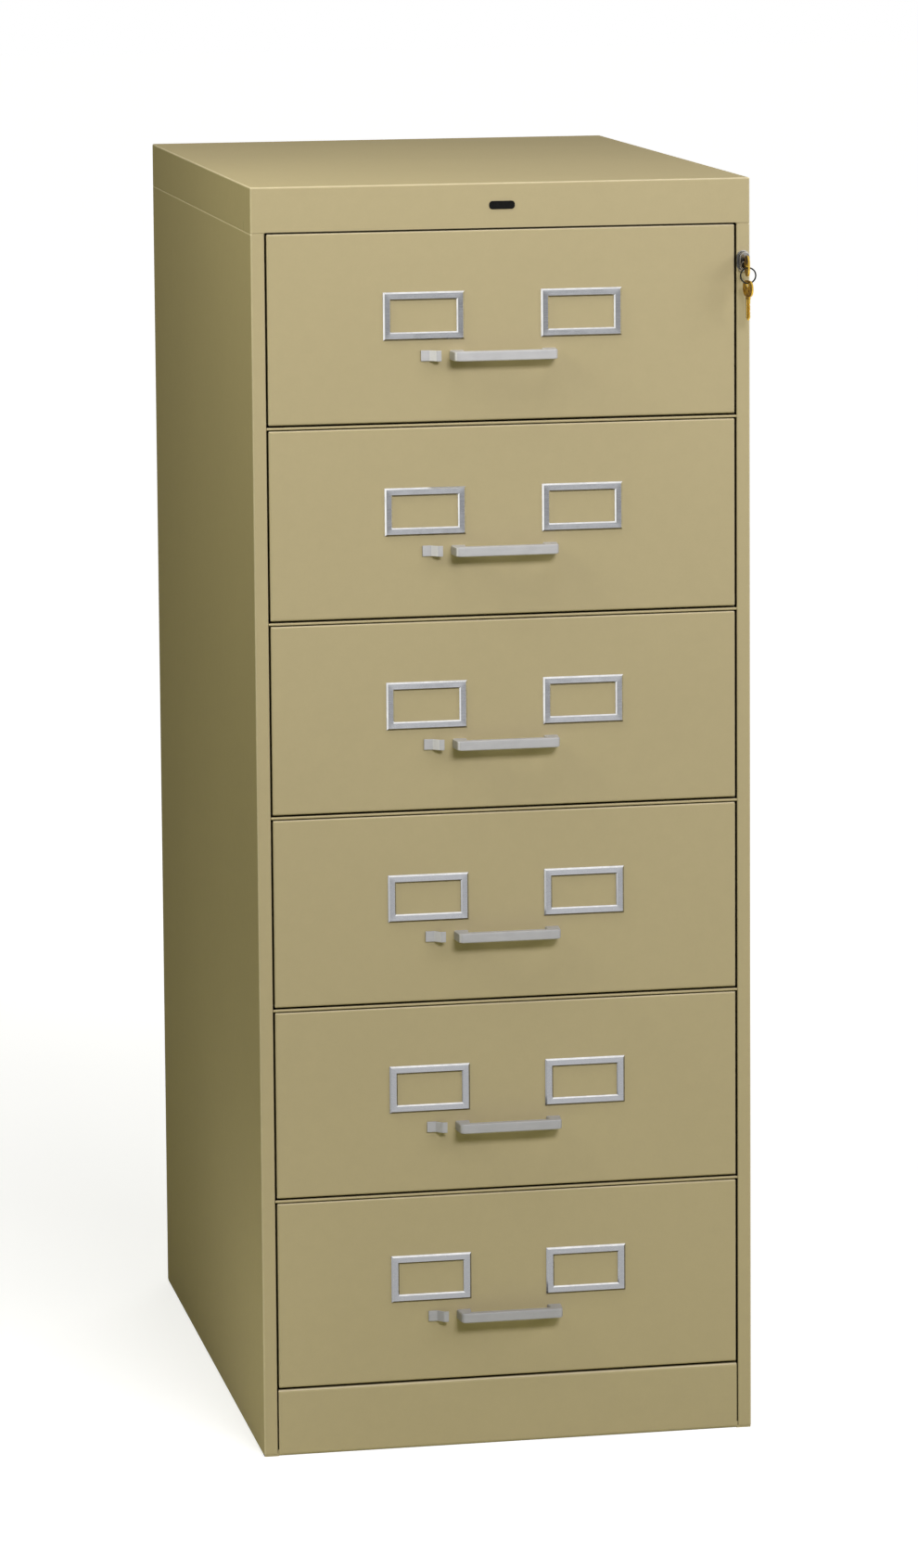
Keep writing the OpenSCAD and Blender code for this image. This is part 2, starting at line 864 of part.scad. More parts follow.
module thumb_latch() {
    left = -latch_x - latch_w / 2;
    right = -latch_x + latch_w / 2;
    neck = [left + over, left + over + neck_w];
    neck_h = bolt_h / 2 - over;
    color(satin_metal)
        translate([0, 0, handle_z]) {
            along_z(-latch_h / 2, latch_h / 2)
                polygon(sheet([
                    [right, -latch_run - latch_rise],
                    [right - latch_lip, -latch_run - latch_rise],
                    [right - latch_lip - latch_ramp, -latch_run],
                    [left, -latch_run]
                ], latch_t, latch_bend));
            box([neck[0], -latch_run - latch_t / 2, -neck_h], [neck[1], latch_y + latch_t / 2, neck_h]);
            box([-front_half + bolt_set, latch_y, -bolt_h / 2], [neck[1], latch_y + latch_t, bolt_h / 2]);
        }
}

// The sloping end of the barrel drives the sloping end of the lock bar
module above_slope(room) {
    top = lock_z + lock_h / 2;
    rear = face_y + lock_depth;
    reach = lock_depth + lock_proud + lock_h;
    along_x(lock_x - stile_w, lock_x + stile_w)
        polygon([
            [rear + room, top],
            [rear + room - reach, top - reach],
            [rear + room - reach, top + reach],
            [rear + room + reach, top + reach]
        ]);
}

module lock_barrel() {
    color(satin_metal)
        difference() {
            intersection() {
                along_y(lock_y, face_y + lock_depth)
                    lock_outline(0);
                above_slope(0);
            }
            translate([lock_x, lock_y + plug_l + plug_run, plug_z])
                rotate([90, 0, 0])
                    cylinder(h = plug_l + plug_run + over, r = plug_r + plug_run);
        }
}

module lock_plug() {
    slot = [key_t / 2 + blade_run, blade_w / 2 + blade_run];
    color(satin_metal)
        difference() {
            translate([lock_x, lock_y + plug_l, plug_z])
                rotate([90, 0, 0])
                    cylinder(h = plug_l, r = plug_r);
            translate([lock_x, lock_y, plug_z])
                box([-slot[0], -over, -slot[1]], [slot[0], blade_l + blade_run, slot[1]]);
        }
}

module lock_bar() {
    bottom = drawer_z(drawers) + handle_z - bar_guide_h;
    lug_x = tray_half + lug_room;
    color(zinc) {
        difference() {
            box([bar_x - bar_w, face_y + bar_y, bottom], [bar_x, face_y + bar_y + bar_t, lock_z + lock_h]);
            above_slope(catch_run);
        }
        for (k = [1 : drawers])
            at_drawer(k)
                box([lug_x, bar_y, lug_z], [bar_x - bar_w + over, bar_y + lug_t, lug_z + lug_h]);
    }
}

// A key with its shoulder at the origin and its blade along +Y
module key_shape() {
    bow_end = -shoulder_l - bow_l;
    difference() {
        along_x(-key_t / 2, key_t / 2)
            difference() {
                union() {
                    rounded_rect([bow_end, -bow_w / 2], [-shoulder_l, bow_w / 2], bow_r, bow_r);
                    translate([-shoulder_l - over, -shoulder_w / 2])
                        square([shoulder_l + over, shoulder_w]);
                    polygon([
                        [-over, -blade_w / 2],
                        [blade_l - blade_w / 2, -blade_w / 2],
                        [blade_l, 0],
                        [blade_l - blade_w / 2, blade_w / 2],
                        [-over, blade_w / 2]
                    ]);
                }
                for (cut = key_cuts)
                    translate([blade_l * cut[0], -blade_w / 2])
                        rotate(45)
                            square(blade_w * cut[1], center = true);
            }
        translate([0, bow_end + eye_set, 0])
            rotate([0, 90, 0])
                cylinder(h = key_t + 2 * over, r = eye_r, center = true);
    }
}

module key() {
    color(brass)
        translate([lock_x, key_y, plug_z])
            key_shape();
}

module key_ring() {
    color(zinc)
        translate([lock_x, eye_y, ring_z])
            rotate([90, 0, 0])
                rotate_extrude()
                    translate([ring_r, 0])
                        circle(wire_r);
}

module spare_key() {
    eye_l = shoulder_l + bow_l - eye_set;
    color(brass)
        translate([lock_x, eye_y, spare_eye_z - eye_l])
            rotate([-90, 0, spare_turn])
                key_shape();
}

case_shell();
top_cap();
base_pan();
drawer_rails();
slide_uprights();
case_slides();
lock_barrel();
lock_plug();
lock_bar();
key();
key_ring();
spare_key();
for (k = [1 : drawers]) {
    at_drawer(k) drawer_front();
    at_drawer(k) drawer_tray();
    at_drawer(k) handle();
    at_drawer(k) label_holders();
    at_drawer(k) thumb_latch();
    at_drawer(k) mid_slides();
    at_drawer(k) follower(-1);
    at_drawer(k) follower(1);
}
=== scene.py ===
import math

import bmesh
import bpy
import numpy as np
from bpy.props import FloatProperty, FloatVectorProperty, PointerProperty
from mathutils import Matrix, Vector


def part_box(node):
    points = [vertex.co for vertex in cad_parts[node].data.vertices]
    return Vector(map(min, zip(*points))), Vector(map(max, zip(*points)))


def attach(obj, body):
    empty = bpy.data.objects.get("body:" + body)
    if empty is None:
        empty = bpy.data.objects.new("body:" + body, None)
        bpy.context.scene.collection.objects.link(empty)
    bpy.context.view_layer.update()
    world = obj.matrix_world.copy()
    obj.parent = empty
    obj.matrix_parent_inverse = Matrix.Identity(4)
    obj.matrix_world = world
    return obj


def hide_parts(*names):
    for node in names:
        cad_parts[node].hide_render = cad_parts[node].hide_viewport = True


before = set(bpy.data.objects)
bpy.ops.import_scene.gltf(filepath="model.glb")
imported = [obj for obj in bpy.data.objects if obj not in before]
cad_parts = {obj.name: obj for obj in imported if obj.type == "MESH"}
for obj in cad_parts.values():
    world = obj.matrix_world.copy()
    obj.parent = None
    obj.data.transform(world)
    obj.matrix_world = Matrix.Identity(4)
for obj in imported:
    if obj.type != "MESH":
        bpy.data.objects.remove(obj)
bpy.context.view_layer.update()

bl_info = {
    "name": "Card index cabinet",
    "version": (1, 0, 0),
    "blender": (4, 5, 0),
    "location": "3D View > Sidebar > Cabinet",
    "description": "Dresses the six-drawer card index cabinet and sets it in a plain studio",
    "category": "Object",
}

DRAWERS = range(1, 7)
FINISH_OF_SLOT = {
    "tan_paint": "front_enamel",
    "zinc_plate": "zinc_sheet",
    "satin_metal": "satin_casting",
    "lock_chrome": "lock_face",
    "key_brass": "worn_brass",
    "ring_steel": "ring_wire",
}
FINISH_OF_NODE = {
    "case_shell": "case_enamel",
    "top_cap": "cap_enamel",
    "base_pan": "base_enamel",
    "drawer_rails": "base_enamel",
    **{f"drawer_{k}_tray": "tray_enamel" for k in DRAWERS},
    **{f"drawer_{k}_label_holders": "label_plate" for k in DRAWERS},
}


def corners(node):
    """The lowest and highest corner of a CAD node, as two arrays."""
    low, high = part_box(node)
    return np.array(low), np.array(high)


def drawer(k, piece):
    return f"drawer_{k}_{piece}"


FRONT_LOW, FRONT_HIGH = corners(drawer(1, "front"))
FACE_Y = float(FRONT_LOW[1])
LOWEST_FRONT = float(corners(drawer(6, "front"))[0][2])
PITCH = float(FRONT_LOW[2] - corners(drawer(2, "front"))[0][2])
CASE_LOW = corners("case_shell")[0]
CAP_LOW, CAP_HIGH = corners("top_cap")
TOE_TOP = float(corners("base_pan")[1][2])
LABEL_LOW, LABEL_HIGH = corners(drawer(6, "label_holders"))
LABEL_HALF_WIDE = 0.0423
LABEL_HALF_TALL = float(LABEL_HIGH[2] - LABEL_LOW[2]) / 2
LABEL_X = float(LABEL_HIGH[0]) - LABEL_HALF_WIDE
LABEL_Z = float(LABEL_LOW[2] + LABEL_HIGH[2]) / 2
BARREL_LOW, BARREL_HIGH = corners("lock_barrel")
PLUG_LOW, PLUG_HIGH = corners("lock_plug")

# Distances from the middle of the cabinet, which the finishes follow
TOE_HALF = 0.2443
STILE_RETURN = (0.2449, 0.2459)
RUNNER_FACE = 0.2353

# How far the painted highlight reaches from an edge of the case, and how deep the painted shade lies in a gap
EDGE_HIGHLIGHT = 0.0018
GAP_DEPTH = 0.01

# A key's bow and shoulder, and how far the spare key turns on the ring
KEY_BOW = 0.0170
KEY_SHOULDER = 0.0025
KEY_HEAD = KEY_BOW + KEY_SHOULDER
SPARE_TURN = math.radians(12)

# Each lamp's place, the point that it faces, its size, its power and its tint
WHITE, COOL, OLIVE = (1.0, 1.0, 1.0), (0.89, 0.89, 1.0), (0.95, 0.95, 0.76)
LAMPS = {
    "key_light": ((0.6, -4.1, 3.1), (0.0, -0.3, 0.7), (1.6, 0.9), "key_power", COOL),
    "right_fill": ((2.5, -1.9, 2.2), (0.1, -0.2, 0.75), (1.4, 1.2), "right_power", WHITE),
    "top_light": ((0.0, -0.8, 2.9), (0.0, -0.2, 1.0), (1.2, 0.8), "top_power", WHITE),
    "side_light": ((-1.2, -0.7, 2.05), (-0.26, -0.15, 1.0), (0.5, 0.9), "side_power", OLIVE),
    "low_fill": ((-0.6, -0.35, 0.03), (-0.26, -0.25, 0.2), (0.6, 0.06), "low_power", WHITE),
    "back_fill": ((0.9, 2.8, 1.3), (0.0, 0.3, 0.65), (1.6, 1.4), "back_power", WHITE),
}


def linear(red, green, blue):
    """A colour given in screen values from 0 to 255, as the linear values that sockets hold."""
    c = np.array((red, green, blue)) / 255
    return tuple(np.where(c <= 0.04045, c / 12.92, ((c + 0.055) / 1.055) ** 2.4).tolist())


def length(name, description, default):
    return FloatProperty(
        name=name, description=description, default=default, min=0.0, unit="LENGTH", precision=4
    )


def colour(name, description, default):
    return FloatVectorProperty(
        name=name, description=description, default=default, min=0.0, max=1.0, size=3, subtype="COLOR"
    )


def power(name, description, default):
    return FloatProperty(name=name, description=description, default=default, unit="POWER")


class CabinetSizes(bpy.types.PropertyGroup):
    """Sizes of the pieces that the scene shapes itself"""

    leg_width: length("Handle leg", "Width of a handle's legs at the front", 0.011)
    leg_flare: length("Leg flare", "How much a leg widens towards the drawer", 0.002)
    grip_depth: length("Grip depth", "Thickness of the grip from front to back", 0.008)
    grip_turn: length("Grip corner", "Radius of the grip's outer corners", 0.0045)
    grip_edge: length("Grip edge", "Radius of the edges along the grip", 0.0016)
    frame_slope: length("Frame slope", "Width of the slope around a label frame", 0.0017)
    window_slope: length("Window slope", "Width of the slope around a label window", 0.0014)
    frame_rim: length("Frame rim", "Width of a label frame from its outside to its window", 0.0083)
    frame_edge: length("Frame edge", "Radius of the bends along a label frame", 0.0003)
    tab_sheet: length("Tab sheet", "Thickness of a thumb tab", 0.0015)
    tab_lip: length("Tab lip", "Width of the raised lip of a thumb tab", 0.0045)
    tab_ramp: length("Tab ramp", "Width of the ramp up to the lip", 0.0065)
    tab_bend: length("Tab bend", "Radius of the bends in a thumb tab", 0.0026)
    lock_lip: length("Lock lip", "Width of the polished lip around the lock", 0.0011)
    bezel_width: length("Bezel", "Width of the plate around the lock", 0.0011)
    key_sheet: length("Key thickness", "Thickness of a key", 0.002)
    ring_wire: length("Ring wire", "Radius of the key ring's wire", 0.0008)
    badge_width: length("Badge width", "Width of the bare badge on the cap", 0.0268)
    badge_height: length("Badge height", "Height of the bare badge", 0.0084)
    badge_proud: length("Badge thickness", "How far the badge stands out", 0.0009)


class CabinetColours(bpy.types.PropertyGroup):
    """Colours of the finishes"""

    enamel: colour("Enamel", "Tan enamel of the case and drawers", linear(186, 172, 134))
    casting: colour("Casting", "Satin handles and thumb tabs", linear(176, 175, 176))
    frames: colour("Label frames", "Brushed flats of the label frames", linear(150, 151, 154))
    zinc: colour("Zinc", "Plated slides and followers", linear(186, 189, 190))
    nickel: colour("Nickel", "Polished lock", linear(205, 203, 198))
    brass: colour("Brass", "Keys", linear(204, 168, 72))
    wire: colour("Wire", "Key ring", linear(50, 52, 51))
    badge: colour("Badge", "Bare badge", linear(12, 12, 11))
    floor: colour("Floor", "Studio floor", linear(198, 198, 196))


class CabinetStage(bpy.types.PropertyGroup):
    """Light and lens of the studio"""

    lens: FloatProperty(name="Lens", description="Focal length", default=131.48, unit="CAMERA")
    fall: FloatProperty(name="Shift", description="Fall of the lens's shift", default=-340 / 1691)
    ambient: FloatProperty(name="Ambient", description="Strength of the surrounding light", default=0.05)
    key_power: power("Key light", "Power of the key light", 125.0)
    top_power: power("Top light", "Power of the top light", 10.2)
    side_power: power("Side light", "Power of the side light", 11.0)
    right_power: power("Right fill", "Power of the right fill", 27.0)
    low_power: power("Low fill", "Power of the light by the floor", 0.36)
    back_power: power("Back fill", "Power of the light behind", 24.0)
    floor_lift: FloatProperty(
        name="Floor lift", description="Paleness that the floor adds where it is seen", default=0.72
    )


class Wire:
    """A socket in a shader tree. Sums and products on it add Math nodes; node() adds any other node."""

    def __init__(self, tree, socket=None):
        self.tree = tree
        self.socket = socket

    def feed(self, target, value):
        if isinstance(value, Wire):
            self.tree.links.new(value.socket, target)
        else:
            target.default_value = value

    def node(self, kind, settings=None, sockets=None, out=0):
        made = self.tree.nodes.new(kind)
        for name, value in (settings or {}).items():
            setattr(made, name, value)
        for key, value in (sockets or {}).items():
            self.feed(made.inputs[key], value)
        return Wire(self.tree, made.outputs[out] if made.outputs else None)

    def math(self, operation, first, second=0.0):
        return self.node("ShaderNodeMath", {"operation": operation}, {0: first, 1: second})

    def __add__(self, other):
        return self.math("ADD", self, other)

    def __radd__(self, other):
        return self.math("ADD", other, self)

    def __sub__(self, other):
        return self.math("SUBTRACT", self, other)

    def __rsub__(self, other):
        return self.math("SUBTRACT", other, self)

    def __mul__(self, other):
        return self.math("MULTIPLY", self, other)

    def __rmul__(self, other):
        return self.math("MULTIPLY", other, self)

    def __mod__(self, other):
        return self.math("FLOORED_MODULO", self, other)

    def __abs__(self):
        return self.math("ABSOLUTE", self)

    def place(self, stretch=(1.0, 1.0, 1.0)):
        """Object coordinates, each multiplied by its stretch."""
        here = self.node("ShaderNodeTexCoord", out="Object")
        if stretch == (1.0, 1.0, 1.0):
            return here
        return self.node("ShaderNodeVectorMath", {"operation": "MULTIPLY"}, {0: here, 1: stretch})

    def axes(self):
        """The three Object coordinates as values."""
        split = self.node("ShaderNodeSeparateXYZ", None, {0: self.place()}).socket.node
        return [Wire(self.tree, socket) for socket in split.outputs]

    def leans(self):
        """The three parts of the piece's own normal as values."""
        normal = self.node("ShaderNodeTexCoord", out="Normal")
        split = self.node("ShaderNodeSeparateXYZ", None, {0: normal}).socket.node
        return [Wire(self.tree, socket) for socket in split.outputs]

    def noise(self, scale, detail=2.0, rough=0.5, stretch=(1.0, 1.0, 1.0)):
        """Noise from 0 to 1 with so many lumps to the metre."""
        return self.node(
            "ShaderNodeTexNoise", None,
            {"Vector": self.place(stretch), "Scale": scale, "Detail": detail, "Roughness": rough},
        )

    def rise(self, low, high, start=0.0, stop=1.0):
        """A smooth step from start to stop as the value goes from low to high."""
        return self.node(
            "ShaderNodeMapRange", {"interpolation_type": "SMOOTHSTEP"},
            {"Value": self, "From Min": low, "From Max": high, "To Min": start, "To Max": stop},
        )

    def between(self, low, high, soft):
        """1 where the value lies between low and high, with edges so soft."""
        return self.rise(low - soft, low + soft) * self.rise(high - soft, high + soft, 1.0, 0.0)

    def blend(self, first, second):
        """The first colour where the value is 0, and the second where it is 1."""
        return self.node("ShaderNodeMix", {"data_type": "RGBA"}, {0: self, 6: first, 7: second}, out=2)

    def scaled(self, factor):
        """A colour multiplied by a value."""
        return self.node("ShaderNodeVectorMath", {"operation": "SCALE"}, {0: self, "Scale": factor})

    def bump(self, depth, strength=1.0):
        """A normal that follows the value as a height of so many metres."""
        return self.node("ShaderNodeBump", None, {"Height": self, "Distance": depth, "Strength": strength})


def shade(rgb, factor):
    """A colour multiplied by a factor, as four numbers for a socket."""
    return (*(min(1.0, c * factor) for c in rgb), 1.0)


def finish(name, paint, **given):
    """The material of that name, made once. paint gives the sockets of its Principled shader."""
    material = bpy.data.materials.get(name)
    if material is None:
        material = bpy.data.materials.new(name)
        material.use_nodes = True
        material.node_tree.nodes.clear()
        wire = Wire(material.node_tree)
        shader = wire.node("ShaderNodeBsdfPrincipled", None, paint(wire, **given))
        wire.node("ShaderNodeOutputMaterial", None, {"Surface": shader})
    return material


def near_ends(value, low, high, wide):
    """1 where a coordinate lies within so far of either end of a range, and 0 well inside it."""
    half = (high - low) / 2
    return abs(value - (low + high) / 2).rise(half - wide, half - 0.4 * wide)


def enamel(wire, rgb, painted_highlight, darkened, dents=0.0):
    """Baked enamel: slow drifts of tone and orange peel, pale with a painted highlight along the edges, dark
    with painted shade in the gaps and at a dark seam on the cap, and pressed in by so many millimetres at the
    dents."""
    drift = wire.noise(2.3, 3.0)
    fine = wire.noise(90.0, 3.0, 0.6)
    speck = wire.noise(420.0, 2.0, 0.7)
    tone = (drift * 0.6 + fine * 0.25 + speck * 0.15).rise(0.3, 0.7)
    paint = tone.blend(shade(rgb, 0.97), shade(rgb, 1.03))
    # A painted highlight pales the paint along the edges, in this pale colour.
    highlight_colour = shade([0.2 + 1.2 * c for c in rgb], 1.0)
    worn = wire.math("MINIMUM", painted_highlight * (0.6 + fine * 0.5), 1.0).blend(paint, highlight_colour)
    peel = wire.noise(620.0, 1.5) * 0.006 + wire.noise(170.0, 1.0) * 0.01
    return {
        # Painted shade darkens the paint in the gaps; on the cap a real dark seam is darkened too.
        "Base Color": wire.math("MINIMUM", darkened, 1.0).blend(worn, shade(rgb, 0.05)),
        "Roughness": 0.62 + drift * 0.08 - painted_highlight * 0.1 + fine * 0.03,
        "Specular IOR Level": 0.006,
        "Normal": (peel - dents).bump(0.001),
    }


def front_enamel(wire, rgb):
    """Enamel of the drawer fronts, with a painted highlight faint along the sides and strong along the top of
    the face, and painted shade in the mouths of the gaps."""
    x, y, z = wire.axes()
    up = (z - LOWEST_FRONT) % PITCH
    half, tall = float(FRONT_HIGH[0]), float(FRONT_HIGH[2] - FRONT_LOW[2])
    bend, rim = 0.0012, 0.0004
    face = y.rise(FACE_Y + 0.0005, FACE_Y + bend, 1.0, 0.0)
    # Painted highlight along the edges of the face, strongest along the top.
    side_highlight = near_ends(x, -half, half, bend) * 0.3
    top_highlight = up.rise(tall - bend, tall - 0.0005) * 0.9
    # Painted shade in the mouths of the gaps.
    gap = near_ends(x, -half, half, rim) + near_ends(up, 0.0, tall, rim)
    mouth = y.between(FACE_Y + 0.0011, FACE_Y + 0.008, 0.0005) * 0.5
    return enamel(wire, rgb, face * (side_highlight + top_highlight), gap * mouth)


def case_enamel(wire, rgb):
    """Enamel of the case: a painted highlight along its outer edges and under the cap, painted shade in the
    gaps around the drawers, with rows of spot-weld dimples down both edges of the back."""
    x, y, z = wire.axes()
    (left, front, _), (right, back, _) = CASE_LOW.tolist(), CAP_HIGH.tolist()
    seam = float(CAP_LOW[2])
    by_side, by_face = near_ends(x, left, right, EDGE_HIGHLIGHT), near_ends(y, front, back, EDGE_HIGHLIGHT)
    # Painted highlight along the outer edges and on the bend just under the cap.
    under_cap = z.between(seam - 0.0017, seam - 0.0004, 0.0003)
    # Painted shade on the returns of the stiles inside the gaps.
    inside = abs(x).between(*STILE_RETURN, 0.0002) * y.between(front + 0.0008, front + GAP_DEPTH, 0.0004)
    weld_inset, weld_pitch, weld_radius = 0.011, 0.1, 0.0035
    from_row = abs(x) - (right - weld_inset)
    from_weld = (z % weld_pitch) - weld_pitch / 2
    weld = (from_row * from_row + from_weld * from_weld).rise(0.0, weld_radius**2, 1.0, 0.0)
    back_face = y.rise(back - 0.0012, back - 0.0004)
    return enamel(wire, rgb, by_side * (by_face * 0.5 + under_cap), inside, weld * back_face * 0.35)


def cap_enamel(wire, rgb):
    """Enamel of the cap: a painted highlight along its edges, painted shade along its lip over the drawer,
    and dark in the short joint of its front bend."""
    x, y, z = wire.axes()
    (left, front, seam), (right, back, top) = CAP_LOW.tolist(), CAP_HIGH.tolist()
    by_side = near_ends(x, left, right, EDGE_HIGHLIGHT)
    by_face = near_ends(y, front, back, EDGE_HIGHLIGHT)
    by_top = near_ends(z, 2 * seam - top, top, EDGE_HIGHLIGHT)
    # Painted highlight along the edges of the cap.
    painted_highlight = by_side * by_face * 0.5 + by_face * by_top * 0.5 + by_side * by_top
    # A real dark seam at the joint, and painted shade under the lip over the drawer.
    joint = y.between(front + 0.0455, front + 0.047, 0.0004) * z.rise(seam + 0.009, seam + 0.010, 1.0, 0.0)
    half = float(FRONT_HIGH[0]) + 0.001
    mouth = abs(x).rise(half - 0.0005, half + 0.0005, 1.0, 0.2) * y.rise(front + 0.03, front + 0.04, 1.0, 0.2)
    lip = z.rise(seam + 0.0005, seam + 0.0011, 1.0, 0.0)
    return enamel(wire, rgb, painted_highlight, lip * mouth + joint * 0.3)


def base_enamel(wire, rgb):
    """Enamel of the toe panel and the rails: a painted highlight along the top front edge of the toe panel,
    and painted shade behind the drawer fronts and at the ends of the toe panel."""
    x, y, z = wire.axes()
    front = y.rise(FACE_Y + 0.001, FACE_Y + 0.002, 1.0, 0.0)
    top = z.between(TOE_TOP - 0.0016, TOE_TOP + 0.0005, 0.0003)
    ends = abs(x).rise(TOE_HALF - 0.0004, TOE_HALF - 0.0001)
    behind = y.between(FACE_Y + 0.0022, FACE_Y + GAP_DEPTH, 0.0008)
    beside = ends * y.between(FACE_Y + 0.001, FACE_Y + GAP_DEPTH, 0.0005)
    # Painted highlight on the toe panel's top front edge, and painted shade behind and beside the drawer
    # fronts.
    return enamel(wire, rgb, front * top * 0.7, behind * 0.9 + beside)


def tray_enamel(wire, rgb, zinc):
    """Thinner enamel inside the drawers, bare zinc on the runners along their sides, and scuffs on the
    floor."""
    x, _, z = wire.axes()
    up = (z - LOWEST_FRONT) % PITCH
    runner_low, runner_high, sharp = 0.035, 0.09, 0.00002
    outside = abs(x).rise(RUNNER_FACE - sharp, RUNNER_FACE + sharp)
    runner = outside * up.between(runner_low, runner_high, 0.002)
    tone = wire.noise(5.0, 4.0)
    scuffs = wire.noise(14.0, 6.0, 0.7, (1.0, 0.12, 1.0)).rise(0.55, 0.75)
    paint = tone.rise(0.3, 0.7).blend(shade(rgb, 0.93), shade(rgb, 1.0))
    worn = (scuffs * 0.25).blend(paint, shade(rgb, 0.82))
    return {
        "Base Color": runner.blend(worn, shade(zinc, 0.95)),
        "Metallic": runner,
        "Roughness": 0.6 + scuffs * 0.12 - runner * 0.2,
        "Specular IOR Level": 0.05,
        "Normal": wire.noise(520.0, 2.0).bump(0.000005),
    }


def casting(wire, rgb):
    """Satin plated casting: a fine drawn grain along X and cloudy plating, with painted light: brighter on
    the upper drawers and darker on the lower ones, a painted highlight on bends that face left up high and
    painted shade on them low down, and painted shade on the sides of the legs that face left."""
    grain = wire.noise(900.0, 3.0, 0.6, (0.06, 1.0, 1.0))
    cloud = wire.noise(60.0, 3.0)
    z, across = wire.axes()[2], wire.leans()[0]
    plating = (cloud * 0.6 + grain * 0.4).rise(0.3, 0.7).blend(shade(rgb, 0.93), shade(rgb, 1.03))
    # Painted light: brighter with height, and painted shade on the sides of the legs that face left.
    painted_shading = z.rise(0.0, 1.35, 0.87, 1.28) * across.rise(-0.97, -0.9, 0.8, 1.0)
    # Painted highlight on left-facing bends up high, and painted shade on them low down.
    bends = across.between(-0.85, -0.5, 0.1) * z.rise(0.15, 0.7, -0.14, 0.36)
    return {
        "Base Color": plating.scaled(painted_shading * (1.0 + bends)),
        "Metallic": 0.25,
        "Roughness": 0.36 + grain * 0.14 + cloud * 0.06,
        "Specular IOR Level": 0.35,
        "Normal": grain.bump(0.000004),
    }


def frame_plate(wire, rgb):
    """Plated steel: brushed streaks along X and a dull haze on the flats, and polish on the slopes, which
    are the faces whose normal leans away from Y. Painted reflection gives the flats an even, paler tone on
    the lower drawers, and makes level bars paler than upright ones, most on the upper drawers. Painted shade
    darkens the slopes that face down, and the slopes of the upright bars on the lower drawers."""
    streak = wire.noise(1100.0, 3.0, 0.65, (0.03, 1.0, 1.0))
    haze = wire.noise(70.0, 4.0, 0.6)
    x, _, z = wire.axes()
    across, out, up = wire.leans()
    flat = abs(out).rise(0.78, 0.97)
    brushed = (streak * 0.5 + haze * 0.5).rise(0.32, 0.68).blend(shade(rgb, 0.86), shade(rgb, 1.12))
    # Painted reflection: the flats turn an even, paler tone on the lower drawers.
    paler = z.rise(0.35, 0.85, 1.0, 0.0).blend(brushed, shade(rgb, 1.06))
    from_side = LABEL_HALF_WIDE - abs(abs(x) - LABEL_X)
    from_end = LABEL_HALF_TALL - abs((z - LABEL_Z + PITCH / 2) % PITCH - PITCH / 2)
    upright_bar = (from_end - from_side).rise(-0.004, 0.004)
    # Painted reflection: level bars paler than upright ones, most on the upper drawers.
    barred = paler.scaled(1.0 + (0.24 - upright_bar * 0.36) * z.rise(0.35, 0.85, 0.2, 1.0))
    polish = haze.rise(0.3, 0.7).blend((0.9, 0.9, 0.89, 1.0), (0.74, 0.74, 0.74, 1.0))
    # Painted shade: the slopes of the upright bars on the lower drawers are darker than the polish.
    dull = (abs(across).rise(0.3, 0.6) * z.rise(0.45, 0.9, 1.0, 0.0)).blend(polish, shade(rgb, 1.05))
    # Painted shade on the slopes that face down.
    darkened = up.rise(-0.6, -0.3, 1.0, 0.0).blend(dull, (0.22, 0.21, 0.19, 1.0))
    return {
        "Base Color": flat.blend(darkened, barred),
        "Metallic": 1.0,
        "Roughness": 0.08 + haze * 0.05 + flat * (0.12 + streak * 0.1),
        "Normal": (streak * flat).bump(0.000005),
    }


def zinc_sheet(wire, rgb):
    """Zinc plate: crystal spangles of slightly different tone, rolled lines and a dull film."""
    spangle = wire.node(
        "ShaderNodeTexVoronoi", {"feature": "SMOOTH_F1"},
        {"Vector": wire.place(), "Scale": 140.0, "Smoothness": 0.3},
    )
    film = wire.noise(9.0, 4.0, 0.6)
    rolled = wire.noise(500.0, 2.0, 0.5, (1.0, 0.02, 1.0))
    tone = spangle * 0.5 + film * 0.35 + rolled * 0.15
    return {
        "Base Color": tone.rise(0.2, 0.7).blend(shade(rgb, 0.82), shade(rgb, 1.02)),
        "Metallic": 1.0,
        "Roughness": 0.34 + film * 0.16 + spangle * 0.08,
        "Normal": rolled.bump(0.000004),
    }


def nickel(wire, rgb):
    """Polished nickel with fine wiping scratches and a grey bloom, with painted shade where it faces left."""
    wipe = wire.noise(1500.0, 2.0, 0.6, (1.0, 1.0, 0.08))
    bloom = wire.noise(260.0, 3.0)
    # Painted shade darkens the faces that face left.
    left_shade = wire.leans()[0].rise(-0.7, 0.0, 0.07, 1.0)
    return {
        "Base Color": bloom.rise(0.3, 0.7).blend(shade(rgb, 0.65), shade(rgb, 1.0)).scaled(left_shade),
        "Metallic": 1.0,
        "Roughness": 0.1 + wipe * 0.1 + bloom * 0.06,
        "Normal": wipe.bump(0.000003),
    }


def lock_face(wire, rgb):
    """The dull face of the lock: painted shade darkens it from the middle down, with wiping scratches, and a
    painted highlight pales its top.
    """
    z = wire.axes()[2]
    wipe = wire.noise(1300.0, 3.0, 0.6, (1.0, 1.0, 0.1))
    middle = float(BARREL_LOW[2] + BARREL_HIGH[2]) / 2
    # Painted highlight on the upper part, and painted shade below it.
    pale = z.rise(middle + 0.001, middle + 0.0075) * (0.6 + wipe * 0.4)
    return {
        "Base Color": pale.blend(shade(rgb, 0.08), shade(rgb, 0.6)),
        "Metallic": 1.0,
        "Roughness": 0.2 + wipe * 0.16,
        "Normal": wipe.bump(0.000003),
    }


